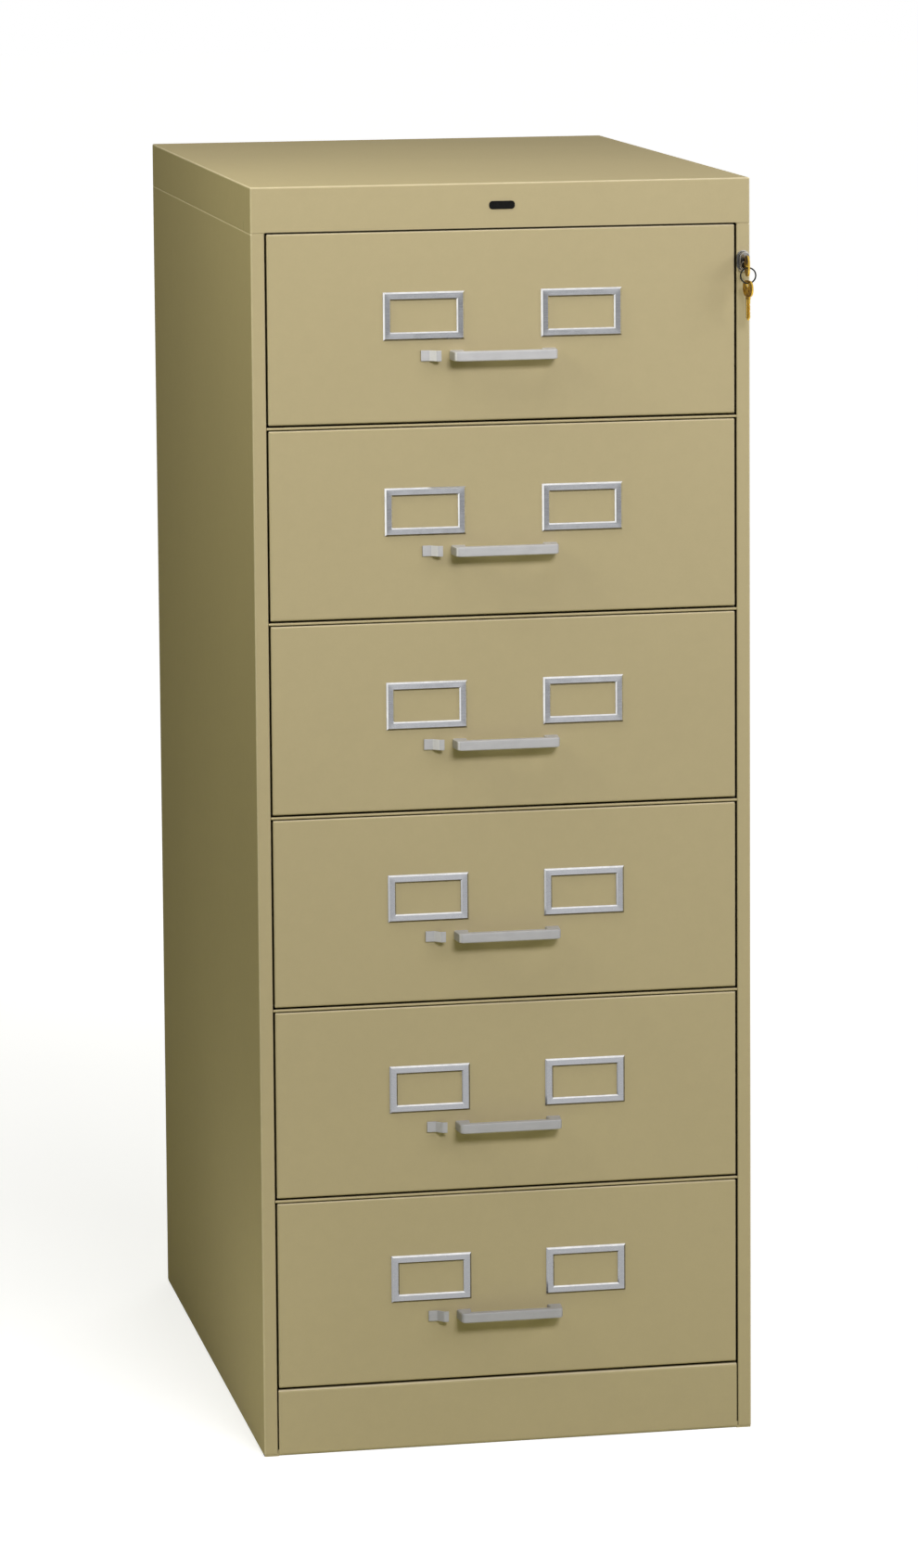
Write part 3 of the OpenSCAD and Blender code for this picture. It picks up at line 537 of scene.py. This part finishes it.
def brass(wire, rgb):
    """Handled brass: the rims and edges worn bright and painted paler still as a highlight, the flat faces
    stained brown in patches, with milling marks."""
    stain = wire.noise(240.0, 4.0, 0.6)
    milled = wire.noise(1600.0, 2.0, 0.5, (1.0, 1.0, 0.1))
    face = abs(wire.leans()[0]).rise(0.75, 0.93)
    # The rims and edges are worn bright and also carry a painted highlight; the flat faces are stained.
    stained = stain.rise(0.4, 0.65, 0.3, 1.0).blend(shade(rgb, 1.05), (0.15, 0.07, 0.014, 1.0))
    return {
        "Base Color": face.blend(shade(rgb, 1.15), stained),
        "Metallic": 1.0,
        "Roughness": 0.12 + stain * 0.1 + milled * 0.06 + face * 0.06,
        "Normal": milled.bump(0.000005),
    }


def ring_wire(wire, rgb):
    """Drawn steel wire with a soft sheen and darker drawing lines."""
    drawn = wire.noise(1200.0, 3.0, 0.6)
    return {
        "Base Color": drawn.rise(0.3, 0.7).blend(shade(rgb, 0.7), shade(rgb, 1.0)),
        "Metallic": 1.0,
        "Roughness": 0.18 + drawn * 0.12,
        "Normal": drawn.bump(0.000004),
    }


def black_lacquer(wire, rgb):
    """Black lacquer with a faint mottle and a dusty grey film."""
    film = wire.noise(300.0, 4.0, 0.6)
    return {
        "Base Color": film.rise(0.4, 0.8).blend(shade(rgb, 0.8), shade(rgb, 2.0)),
        "Roughness": 0.42 + film * 0.12,
        "Specular IOR Level": 0.12,
        "Normal": wire.noise(900.0, 2.0).bump(0.000004),
    }


FINISHES = {
    "front_enamel": (front_enamel, {"rgb": "enamel"}),
    "case_enamel": (case_enamel, {"rgb": "enamel"}),
    "cap_enamel": (cap_enamel, {"rgb": "enamel"}),
    "base_enamel": (base_enamel, {"rgb": "enamel"}),
    "tray_enamel": (tray_enamel, {"rgb": "enamel", "zinc": "zinc"}),
    "satin_casting": (casting, {"rgb": "casting"}),
    "label_plate": (frame_plate, {"rgb": "frames"}),
    "zinc_sheet": (zinc_sheet, {"rgb": "zinc"}),
    "lock_nickel": (nickel, {"rgb": "nickel"}),
    "lock_face": (lock_face, {"rgb": "nickel"}),
    "worn_brass": (brass, {"rgb": "brass"}),
    "ring_wire": (ring_wire, {"rgb": "wire"}),
    "black_lacquer": (black_lacquer, {"rgb": "badge"}),
}


def finishes(context):
    """Every finish of the cabinet, by name."""
    colours = context.scene.cabinet_colours
    return {
        name: finish(name, paint, **{given: tuple(getattr(colours, own)) for given, own in takes.items()})
        for name, (paint, takes) in FINISHES.items()
    }


def unit(vectors):
    return vectors / np.linalg.norm(vectors, axis=-1, keepdims=True)


def fillet(points, radius, closed=True, steps=6):
    """A polyline with its corners rounded: at each corner an arc that touches both sides, its points even in
    angle. One more point stands on each side just past the arc, which keeps the shading of the sides flat."""
    p = np.asarray(points, float)
    r = np.broadcast_to(np.asarray(radius, float), len(p))[:, None]
    before, after = unit(np.roll(p, 1, 0) - p), unit(np.roll(p, -1, 0) - p)
    half = np.arccos(np.clip((before * after).sum(1, keepdims=True), -0.999999, 0.999999)) / 2
    reach = r / np.tan(half)
    middle = p + unit(before + after) * r / np.sin(half)
    first, last = p + before * reach - middle, p + after * reach - middle
    start = np.arctan2(first[:, 1:], first[:, :1])
    swing = np.arctan2(last[:, 1:], last[:, :1]) - start
    swing = (swing + np.pi) % (2 * np.pi) - np.pi
    angle = start + swing * np.linspace(0, 1, steps + 1)
    arcs = middle[:, None] + r[:, None] * np.stack([np.cos(angle), np.sin(angle)], -1)
    past = 1.15 * reach
    rows = np.concatenate([(p + before * past)[:, None], arcs, (p + after * past)[:, None]], 1)
    if closed:
        return rows.reshape(-1, 2)
    return np.concatenate([p[:1], rows[1:-1].reshape(-1, 2), p[-1:]])


def oblong(half_x, half_z, radius, steps=10):
    """A rectangle about the origin with round corners, or a circle where all three sizes are equal."""
    turn = np.linspace(0, np.pi / 2, steps + 1)
    angle = turn + np.pi / 2 * np.arange(4)[:, None]
    signs = np.array([[1, 1], [-1, 1], [-1, -1], [1, -1]])
    centre = signs * np.array([half_x - radius, half_z - radius])
    return (centre[:, None] + radius * np.stack([np.cos(angle), np.sin(angle)], -1)).reshape(-1, 2)


def upright(outline, x, y, z):
    """An outline in X and Z as a loop of points around (x, y, z)."""
    return np.stack([outline[:, 0] + x, np.full(len(outline), y), outline[:, 1] + z], -1)


def span(first, second, low, high, edge, steps=5):
    """Sections of a bar between two plan curves: each is a rounded rectangle that runs from a point of the
    first curve to its partner on the second and from low to high, its corners quarter circles of the radius
    edge."""
    turn = np.concatenate([[0.0], np.linspace(0, np.pi / 2, steps + 1), [np.pi / 2]])
    past = np.zeros(len(turn))
    past[[0, -1]] = 0.25 * edge
    across, rise = edge * (1 - np.cos(turn)), edge * (1 - np.sin(turn))
    rise[0] += past[0]
    across[-1] += past[-1]
    in_from = np.concatenate([across, -across[::-1], -across, across[::-1]])
    far = np.repeat([0.0, 1.0, 1.0, 0.0], len(turn))
    height = np.concatenate([low + rise, low + rise[::-1], high - rise, high - rise[::-1]])
    wide = np.linalg.norm(second - first, axis=1)
    step = far * wide[:, None] + in_from
    plan = first[:, None] + unit(second - first)[:, None] * step[..., None]
    return np.concatenate([plan, np.broadcast_to(height[:, None], (*step.shape, 1))], -1)


def shell(loops, ring=False):
    """Points of a closed surface through loops of points, and its faces as arrays. Quads join neighbouring
    loops; a ring joins its last loop to its first, and any other shell has a face across each end loop."""
    m, n = loops.shape[:2]
    index = np.arange(m * n).reshape(m, n)
    rows = np.vstack([index, index[:1]]) if ring else index
    beside = np.roll(rows, -1, 1)
    quads = np.stack([rows[:-1], beside[:-1], beside[1:], rows[1:]], -1).reshape(-1, 4)
    return loops.reshape(-1, 3), [quads] if ring else [quads, index[[0, -1]]]


def build(name, shells, material, body, stands_for=(), sharp=38):
    """One piece of several closed shells: smooth, but sharp where faces meet at more than the angle in
    degrees."""
    starts = np.cumsum([0] + [len(points) for points, _ in shells])
    faces = []
    for start, (_, grids) in zip(starts, shells):
        for grid in grids:
            faces += (grid + start).tolist()
    mesh = bpy.data.meshes.new(name)
    mesh.from_pydata(np.concatenate([points for points, _ in shells]).tolist(), [], faces)
    work = bmesh.new()
    work.from_mesh(mesh)
    bmesh.ops.recalc_face_normals(work, faces=work.faces)
    work.to_mesh(mesh)
    work.free()
    mesh.shade_smooth()
    mesh.set_sharp_from_angle(angle=math.radians(sharp))
    mesh.materials.append(material)
    piece = bpy.data.objects.new(name, mesh)
    bpy.context.scene.collection.objects.link(piece)
    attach(piece, body)
    if stands_for:
        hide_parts(*stands_for)
    return piece


def handle_sections(k, sizes):
    """A drawer pull: its outer and inner plan curves are two open trapezoids with rounded corners, and a
    rounded rectangle is carried between them from one foot to the other."""
    low, high = corners(drawer(k, "handle"))
    x, z = float(low[0] + high[0]) / 2, float(low[2] + high[2]) / 2
    foot, proud, half = (high[0] - low[0]) / 2, FACE_Y - low[1], float(high[2] - low[2]) / 2
    grip, back = foot - sizes.leg_flare, proud - sizes.grip_depth
    inner = grip - sizes.leg_width
    inner_foot = inner - sizes.leg_flare
    outer_curve = fillet([(-foot, 0), (-grip, -proud), (grip, -proud), (foot, 0)], sizes.grip_turn, False, 8)
    inner_curve = fillet(
        [(-inner_foot, 0), (-inner, -back), (inner, -back), (inner_foot, 0)], sizes.grip_turn / 2, False, 8
    )
    centre = np.array([x, FACE_Y])
    return span(outer_curve + centre, inner_curve + centre, z - half, z + half, sizes.grip_edge)


def frame_loops(x, z, half, proud, sizes):
    """A label frame: a profile of slope, flat, slope and back carried round a rectangle with mitred
    corners. Each profile point is a distance in from the outside and a distance out from the drawer."""
    window_step, crisp, outer_bend, window_bend = 0.001, 0.00002, 0.0001, 0.0002
    profile = fillet(
        [
            (0.0, 0.0),
            (0.0, proud - sizes.frame_slope),
            (sizes.frame_slope, proud),
            (sizes.frame_rim - sizes.window_slope, proud),
            (sizes.frame_rim, window_step),
            (sizes.frame_rim, 0.0),
        ],
        [crisp, outer_bend, sizes.frame_edge, sizes.frame_edge, window_bend, crisp],
        steps=4,
    )
    signs = np.array([[-1, -1], [1, -1], [1, 1], [-1, 1]])
    inside = half - profile[:, :1]
    plan = signs * inside[:, None]
    y = np.broadcast_to(FACE_Y - profile[:, 1:, None], (len(profile), 4, 1))
    return np.concatenate([plan[..., :1] + x, y, plan[..., 1:] + z], -1)


def sides(curve, thick):
    """The two faces of a sheet whose middle follows a plan curve: half its thickness along the normals each
    way."""
    along = unit(np.gradient(curve, axis=0))
    normal = np.stack([-along[:, 1], along[:, 0]], -1) * thick / 2
    return curve - normal, curve + normal


def tab_shells(k, sizes):
    """A thumb latch: a bent sheet that lies flat, ramps up and ends in a lip, with its neck and bolt behind
    it."""
    low, high = corners(drawer(k, "thumb_latch"))
    z, half = float(low[2] + high[2]) / 2, float(high[2] - low[2]) / 2
    tab_length, clear, edge = 0.02, 0.0003, 0.0003
    bolt_half, neck_half, neck_near, neck_far, sunk = 0.0045, 0.0035, 0.001, 0.007, 0.0005
    right, lip_y = float(high[0]), float(low[1]) + sizes.tab_sheet / 2
    left, flat_y = right - tab_length, FACE_Y - clear - sizes.tab_sheet / 2
    path = fillet(
        [
            (left, flat_y),
            (right - sizes.tab_lip - sizes.tab_ramp, flat_y),
            (right - sizes.tab_lip, lip_y),
            (right, lip_y),
        ],
        sizes.tab_bend, False, 10,
    )
    tab = span(*sides(path, sizes.tab_sheet), z - half, z + half, sizes.tab_sheet * 0.3, 3)
    back = float(high[1])
    bolt_y = back - sizes.tab_sheet
    ends = np.array([[float(low[0]), 0.0], [left + neck_far, 0.0]])
    bolt = span(ends + (0, bolt_y), ends + (0, back), z - bolt_half, z + bolt_half, edge, 2)
    ends = np.array([[left + neck_near, 0.0], [left + neck_far, 0.0]])
    neck = span(ends + (0, flat_y), ends + (0, bolt_y + sunk), z - neck_half, z + neck_half, edge, 2)
    return [shell(tab), shell(bolt), shell(neck)]


def oval(grow):
    """The outline of the lock barrel, grown by so much."""
    half = (BARREL_HIGH - BARREL_LOW) / 2
    return oblong(half[0] + grow, half[2] + grow, half[0] + grow)


def swelled(rows, x, z, shrink):
    """Loops of an outline that shrinks by the first number of each row and lies at the second along Y."""
    return np.stack([upright(shrink(inset), x, y, z) for inset, y in rows])


def lip_rows(wide, front, swell):
    """Rows of a lip: half an ellipse that swells out from the front, and a flat as far behind it."""
    turn = np.linspace(0, np.pi, 9)
    bulge = zip(wide / 2 - wide / 2 * np.cos(turn), front - swell * np.sin(turn))
    return [*bulge, (wide, front + swell), (0.0, front + swell)]


def key_shells(sizes, local):
    """A cabinet key: a bow with a raised rim and an eye, a shoulder, and a blade with side grooves and
    cuts. Points are (thickness, along the key, across it) from the shoulder, and local turns them into
    place."""
    t, edge, sunk = sizes.key_sheet / 2, 0.00035, 0.0008
    bow_wide, corner, rim, slope, dish = 0.0220, 0.0075, 0.0016, 0.0004, 0.0003
    eye, eye_set, eye_rim = 0.0026, 0.0046, 0.0007
    blade, blade_wide, blunt = 0.0220, 0.0066, 0.0002
    neck_half, neck_corner = 0.0042, 0.0004

    def bow(inset, thick):
        line = oblong(KEY_BOW / 2 - inset, bow_wide / 2 - inset, corner - inset)
        return np.stack([np.full(len(line), thick), line[:, 0] - KEY_SHOULDER - KEY_BOW / 2, line[:, 1]], -1)

    def hole(grow, thick):
        line = oblong(eye + grow, eye + grow, eye + grow)
        return np.stack([np.full(len(line), thick), line[:, 0] - KEY_HEAD + eye_set, line[:, 1]], -1)

    outside = [(0.0, t - edge), (0.3 * edge, t - 0.3 * edge), (edge, t), (rim, t), (rim + slope, t - dish)]
    around_eye = [(eye_rim + slope, t - dish), (eye_rim, t), (edge, t), (0.0, t - edge)]
    near = [bow(inset, thick) for inset, thick in outside] + [hole(grow, thick) for grow, thick in around_eye]
    far = [loop * (-1, 1, 1) for loop in near[::-1]]
    bow_loops = np.stack(near + far)

    along = np.linspace(-sunk, blade - blunt, 180)
    tip = np.clip(along - (blade - blade_wide / 2), 0, None)
    places = blade * np.array([0.25, 0.4, 0.55, 0.7])
    deep = blade_wide * np.array([0.3, 0.2, 0.3, 0.2]) / math.sqrt(2)
    cuts = np.clip(deep - np.abs(along[:, None] - places), 0, None).sum(1)
    low, high = -blade_wide / 2 + np.maximum(cuts, tip), blade_wide / 2 - tip
    share = np.array([0.0, 0.05, 0.36, 0.42, 0.6, 0.66, 0.95, 1.0])
    thick = t * np.array([0.85, 1.0, 1.0, 0.6, 0.6, 1.0, 1.0, 0.85])
    share, thick = np.concatenate([share, share[::-1]]), np.concatenate([thick, -thick[::-1]])
    across = low[:, None] + (high - low)[:, None] * share
    flat = np.ones_like(across)
    blade_loops = np.stack([thick * flat, along[:, None] * flat, across], -1)

    line = oblong(t, neck_half, neck_corner, 3)
    flat = np.ones((2, len(line)))
    ends = np.array([[-KEY_SHOULDER - sunk], [0.0]])
    neck = np.stack([line[:, 0] * flat, ends * flat, line[:, 1] * flat], -1)
    return [shell(local(bow_loops), True), shell(local(blade_loops)), shell(local(neck))]


class CABINET_OT_sheet_metal(bpy.types.Operator):
    """Give the folded case, the fronts, the trays and the plated parts inside their finishes"""

    bl_idname = "cabinet.sheet_metal"
    bl_label = "Sheet metal"

    def execute(self, context):
        made = finishes(context)
        for name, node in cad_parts.items():
            slot = node.data.materials[0].name.split(".")[0]
            node.data.materials[0] = made[FINISH_OF_NODE.get(name, FINISH_OF_SLOT[slot])]
        return {"FINISHED"}


class CABINET_OT_handles(bpy.types.Operator):
    """Shape the six drawer pulls"""

    bl_idname = "cabinet.handles"
    bl_label = "Handles"

    def execute(self, context):
        made, sizes = finishes(context), context.scene.cabinet_sizes
        for k in DRAWERS:
            build(
                f"pull_{k}", [shell(handle_sections(k, sizes))], made["satin_casting"], f"drawer_{k}",
                [drawer(k, "handle")],
            )
        return {"FINISHED"}


class CABINET_OT_label_frames(bpy.types.Operator):
    """Shape the twelve label frames"""

    bl_idname = "cabinet.label_frames"
    bl_label = "Label frames"

    def execute(self, context):
        made, sizes = finishes(context), context.scene.cabinet_sizes
        for k in DRAWERS:
            low, high = corners(drawer(k, "label_holders"))
            z, proud = float(low[2] + high[2]) / 2, FACE_Y - float(low[1])
            half = np.array([LABEL_HALF_WIDE, float(high[2] - low[2]) / 2])
            centre = float(high[0]) - LABEL_HALF_WIDE
            shells = [shell(frame_loops(x, z, half, proud, sizes), True) for x in (-centre, centre)]
            build(
                f"label_frames_{k}", shells, made["label_plate"], f"drawer_{k}",
                [drawer(k, "label_holders")],
            )
        return {"FINISHED"}


class CABINET_OT_thumb_tabs(bpy.types.Operator):
    """Shape the six thumb latches"""

    bl_idname = "cabinet.thumb_tabs"
    bl_label = "Thumb tabs"

    def execute(self, context):
        made, sizes = finishes(context), context.scene.cabinet_sizes
        for k in DRAWERS:
            build(
                f"thumb_tab_{k}", tab_shells(k, sizes), made["satin_casting"], drawer(k, "thumb_latch"),
                [drawer(k, "thumb_latch")],
            )
        return {"FINISHED"}


class CABINET_OT_lock_trim(bpy.types.Operator):
    """Shape the polished lip of the lock and the plate around it"""

    bl_idname = "cabinet.lock_trim"
    bl_label = "Lock trim"

    def execute(self, context):
        made, sizes = finishes(context), context.scene.cabinet_sizes
        x, _, z = (BARREL_LOW + BARREL_HIGH) / 2
        proud, clear = 0.00002, 0.0003
        rows = lip_rows(sizes.lock_lip, float(BARREL_LOW[1]), 0.0006)
        loops = swelled(rows, x, z, lambda inset: oval(proud - inset))
        build("lock_lip", [shell(loops, True)], made["lock_nickel"], "lock_barrel")
        plug_x, _, plug_z = (PLUG_LOW + PLUG_HIGH) / 2
        radius = float(PLUG_HIGH[0] - PLUG_LOW[0]) / 2
        rows = lip_rows(sizes.lock_lip * 0.8, float(PLUG_LOW[1]), 0.0005)
        loops = swelled(rows, plug_x, plug_z, lambda inset: oblong(*[radius - inset] * 3))
        build("plug_lip", [shell(loops, True)], made["lock_nickel"], "lock_plug")
        wide, rim_y, plate_y = sizes.bezel_width, FACE_Y - 0.0003, FACE_Y - 0.0007
        rows = [(-wide, FACE_Y), (-wide, rim_y), (-0.6 * wide, plate_y), (0.0, plate_y), (0.0, FACE_Y)]
        loops = swelled(rows, x, z, lambda inset: oval(clear - inset))
        build("lock_bezel", [shell(loops, True)], made["lock_nickel"], "case")
        return {"FINISHED"}


class CABINET_OT_keys(bpy.types.Operator):
    """Shape the key in the lock, the ring and the spare key that hangs on it"""

    bl_idname = "cabinet.keys"
    bl_label = "Keys"

    def execute(self, context):
        made, sizes = finishes(context), context.scene.cabinet_sizes
        low, high = corners("key")
        x, z = float(low[0] + high[0]) / 2, float(PLUG_LOW[2] + PLUG_HIGH[2]) / 2
        shoulder_y = float(low[1]) + KEY_HEAD
        build(
            "key_in_lock", key_shells(sizes, lambda p: p + (x, shoulder_y, z)), made["worn_brass"], "key",
            ["key"],
        )
        low, high = corners("key_ring")
        centre, r = (low + high) / 2, sizes.ring_wire
        around = np.linspace(0, 2 * np.pi, 96, endpoint=False)
        tube = np.linspace(0, 2 * np.pi, 20, endpoint=False)[:, None]
        radius = (float(high[2] - low[2]) / 2 - r) + r * np.cos(tube)
        deep = r * np.sin(tube) * np.ones_like(around)
        loops = np.stack([radius * np.cos(around), deep, radius * np.sin(around)], -1)
        build(
            "ring", [shell(loops + centre, True)], made["ring_wire"], "key_ring", ["key_ring"]
        )
        cos, sin = math.cos(SPARE_TURN), math.sin(SPARE_TURN)
        shoulder_z = float(corners("spare_key")[1][2]) - KEY_HEAD

        def hung(p):
            thick, along, across = np.moveaxis(p, -1, 0)
            x, y = centre[0] + cos * thick - sin * across, centre[1] + sin * thick + cos * across
            return np.stack([x, y, shoulder_z - along], -1)

        build(
            "spare_key_on_ring", key_shells(sizes, hung), made["worn_brass"], "spare_key",
            ["spare_key"],
        )
        return {"FINISHED"}


class CABINET_OT_badge(bpy.types.Operator):
    """Shape the bare badge on the cap"""

    bl_idname = "cabinet.badge"
    bl_label = "Badge"

    def execute(self, context):
        made, sizes = finishes(context), context.scene.cabinet_sizes
        half_w, half_h, out = sizes.badge_width / 2, sizes.badge_height / 2, sizes.badge_proud
        face, above_seam = float(CAP_LOW[1]), 0.024
        rim = [(0.0, 0.0), (0.0, 0.5), (0.0001, 0.78), (0.0004, 0.95), (0.0008, 1.0), (0.0011, 1.0)]
        dish = [(0.0013, 0.8), (0.0016, 0.78), (0.0024, 0.78)]

        def outline(inset):
            return oblong(half_w - inset, half_h - inset, half_h * 0.85 - inset)

        rows = [(inset, face - share * out) for inset, share in rim + dish]
        loops = swelled(rows, 0.0, float(CAP_LOW[2]) + above_seam, outline)
        build("badge_plate", [shell(loops)], made["black_lacquer"], "case")
        return {"FINISHED"}


class CABINET_OT_studio(bpy.types.Operator):
    """Set the floor, the lights, the surrounding white and the camera"""

    bl_idname = "cabinet.studio"
    bl_label = "Studio"

    def execute(self, context):
        scene, stage = context.scene, context.scene.cabinet_stage
        scene.view_settings.view_transform = "Standard"
        self.camera(scene, stage)
        self.floor(scene, stage)
        self.surroundings(scene, stage)
        for name, (place, aim, size, power_name, tint) in LAMPS.items():
            self.lamp(scene, name, place, aim, size, getattr(stage, power_name), tint)
        return {"FINISHED"}

    def camera(self, scene, stage):
        """The lens looks along its own Y, turned by yaw about Z, pitch about X and roll about Y."""
        yaw, pitch, roll = (math.radians(a) for a in (-10.81, -6.89, 0.42))
        turn = Matrix.Rotation(yaw, 3, "Z") @ Matrix.Rotation(pitch, 3, "X") @ Matrix.Rotation(roll, 3, "Y")
        lens = bpy.data.cameras.new("camera")
        lens.lens, lens.shift_y, lens.clip_end = stage.lens, stage.fall, 100.0
        camera = bpy.data.objects.new("camera", lens)
        axes = Matrix((turn.col[0], turn.col[2], -turn.col[1])).transposed().to_4x4()
        right, away, up = -1.139, 5.721, 1.732
        camera.matrix_world = Matrix.Translation((right, FACE_Y - away, up)) @ axes
        scene.collection.objects.link(camera)
        scene.camera = camera

    def seen(self, wire):
        """1 for a ray that a camera, a mirror or a glass sends, and 0 for light that falls on something."""
        path = wire.node("ShaderNodeLightPath").socket.node
        names = ("Is Camera Ray", "Is Glossy Ray", "Is Transmission Ray")
        camera, glossy, glass = (Wire(wire.tree, path.outputs[name]) for name in names)
        return wire.math("MINIMUM", camera + glossy + glass, 1.0)

    def floor(self, scene, stage):
        """Paper that is white where it is seen, paler with distance, and warm in the light that it throws
        back."""
        material = bpy.data.materials.new("studio_floor")
        material.use_nodes = True
        material.node_tree.nodes.clear()
        wire = Wire(material.node_tree)
        paper = wire.noise(3.0, 3.0)
        x, y, _ = wire.axes()
        seen = self.seen(wire)
        near, far, far_lift = 1.0, 12.0, 0.985
        lift = seen * (x * x + y * y).rise(near, far, stage.floor_lift, far_lift)
        pale = tuple(scene.cabinet_colours.floor)
        bounce = (0.85, 0.88, 0.5)
        warm = [c * tint for c, tint in zip(pale, bounce)]
        shader = wire.node("ShaderNodeBsdfPrincipled", None, {
            "Base Color": seen.blend(shade(warm, 1.0), paper.blend(shade(pale, 0.985), shade(pale, 1.0))),
            "Roughness": 0.9,
            "Specular IOR Level": 0.0,
            "Emission Color": lift.blend((0.0, 0.0, 0.0, 1.0), (*WHITE, 1.0)),
            "Emission Strength": 1.0,
        })
        wire.node("ShaderNodeOutputMaterial", None, {"Surface": shader})
        mesh = bpy.data.meshes.new("studio_floor")
        edge = 30
        square = [(-edge, -edge, 0), (edge, -edge, 0), (edge, edge, 0), (-edge, edge, 0)]
        mesh.from_pydata(square, [], [(0, 1, 2, 3)])
        mesh.materials.append(material)
        floor = bpy.data.objects.new("studio_floor", mesh)
        scene.collection.objects.link(floor)

    def surroundings(self, scene, stage):
        """White where it is seen, and a weak warm light on what it falls on."""
        world = bpy.data.worlds.new("surroundings")
        world.use_nodes = True
        world.node_tree.nodes.clear()
        wire = Wire(world.node_tree)
        strength = self.seen(wire) * (1.0 - stage.ambient) + stage.ambient
        warm = (1.0, 0.93, 0.45)
        warmth = self.seen(wire).blend((*warm, 1.0), (*WHITE, 1.0))
        light = wire.node("ShaderNodeBackground", None, {"Color": warmth, "Strength": strength})
        wire.node("ShaderNodeOutputWorld", None, {"Surface": light})
        scene.world = world

    def lamp(self, scene, name, place, aim, size, power, tint):
        """A rectangular lamp at a place, turned so that it faces the point that it is aimed at. Polished
        metal shows the white surroundings and not the lamp, which would burn out."""
        light = bpy.data.lights.new(name, "AREA")
        light.shape, light.energy, light.color = "RECTANGLE", power, tint
        light.size, light.size_y = size
        lamp = bpy.data.objects.new(name, light)
        facing = Matrix.Translation(place).translation - Matrix.Translation(aim).translation
        lamp.matrix_world = Matrix.Translation(place) @ facing.to_track_quat("Z", "Y").to_matrix().to_4x4()
        lamp.visible_camera = lamp.visible_glossy = False
        scene.collection.objects.link(lamp)


class CABINET_PT_panel(bpy.types.Panel):
    """The cabinet's sizes, colours, light and pieces"""

    bl_idname = "CABINET_PT_panel"
    bl_label = "Card index cabinet"
    bl_space_type = "VIEW_3D"
    bl_region_type = "UI"
    bl_category = "Cabinet"

    def draw(self, context):
        for owner in GROUPS:
            group, box = getattr(context.scene, owner), self.layout.box()
            for name in group.bl_rna.properties.keys():
                if name not in ("rna_type", "name"):
                    box.prop(group, name)
        for operator in OPERATORS:
            self.layout.operator(operator.bl_idname)


GROUPS = {"cabinet_sizes": CabinetSizes, "cabinet_colours": CabinetColours, "cabinet_stage": CabinetStage}
OPERATORS = (
    CABINET_OT_studio,
    CABINET_OT_sheet_metal,
    CABINET_OT_handles,
    CABINET_OT_label_frames,
    CABINET_OT_thumb_tabs,
    CABINET_OT_lock_trim,
    CABINET_OT_keys,
    CABINET_OT_badge,
)
CLASSES = (*GROUPS.values(), *OPERATORS, CABINET_PT_panel)


def register():
    for made in CLASSES:
        bpy.utils.register_class(made)
    for name, group in GROUPS.items():
        setattr(bpy.types.Scene, name, PointerProperty(type=group))


def unregister():
    for name in GROUPS:
        delattr(bpy.types.Scene, name)
    for made in reversed(CLASSES):
        bpy.utils.unregister_class(made)


def main():
    register()
    bpy.ops.cabinet.studio()
    bpy.ops.cabinet.sheet_metal()
    bpy.ops.cabinet.handles()
    bpy.ops.cabinet.label_frames()
    bpy.ops.cabinet.thumb_tabs()
    bpy.ops.cabinet.lock_trim()
    bpy.ops.cabinet.keys()
    bpy.ops.cabinet.badge()


if __name__ == "__main__":
    main()
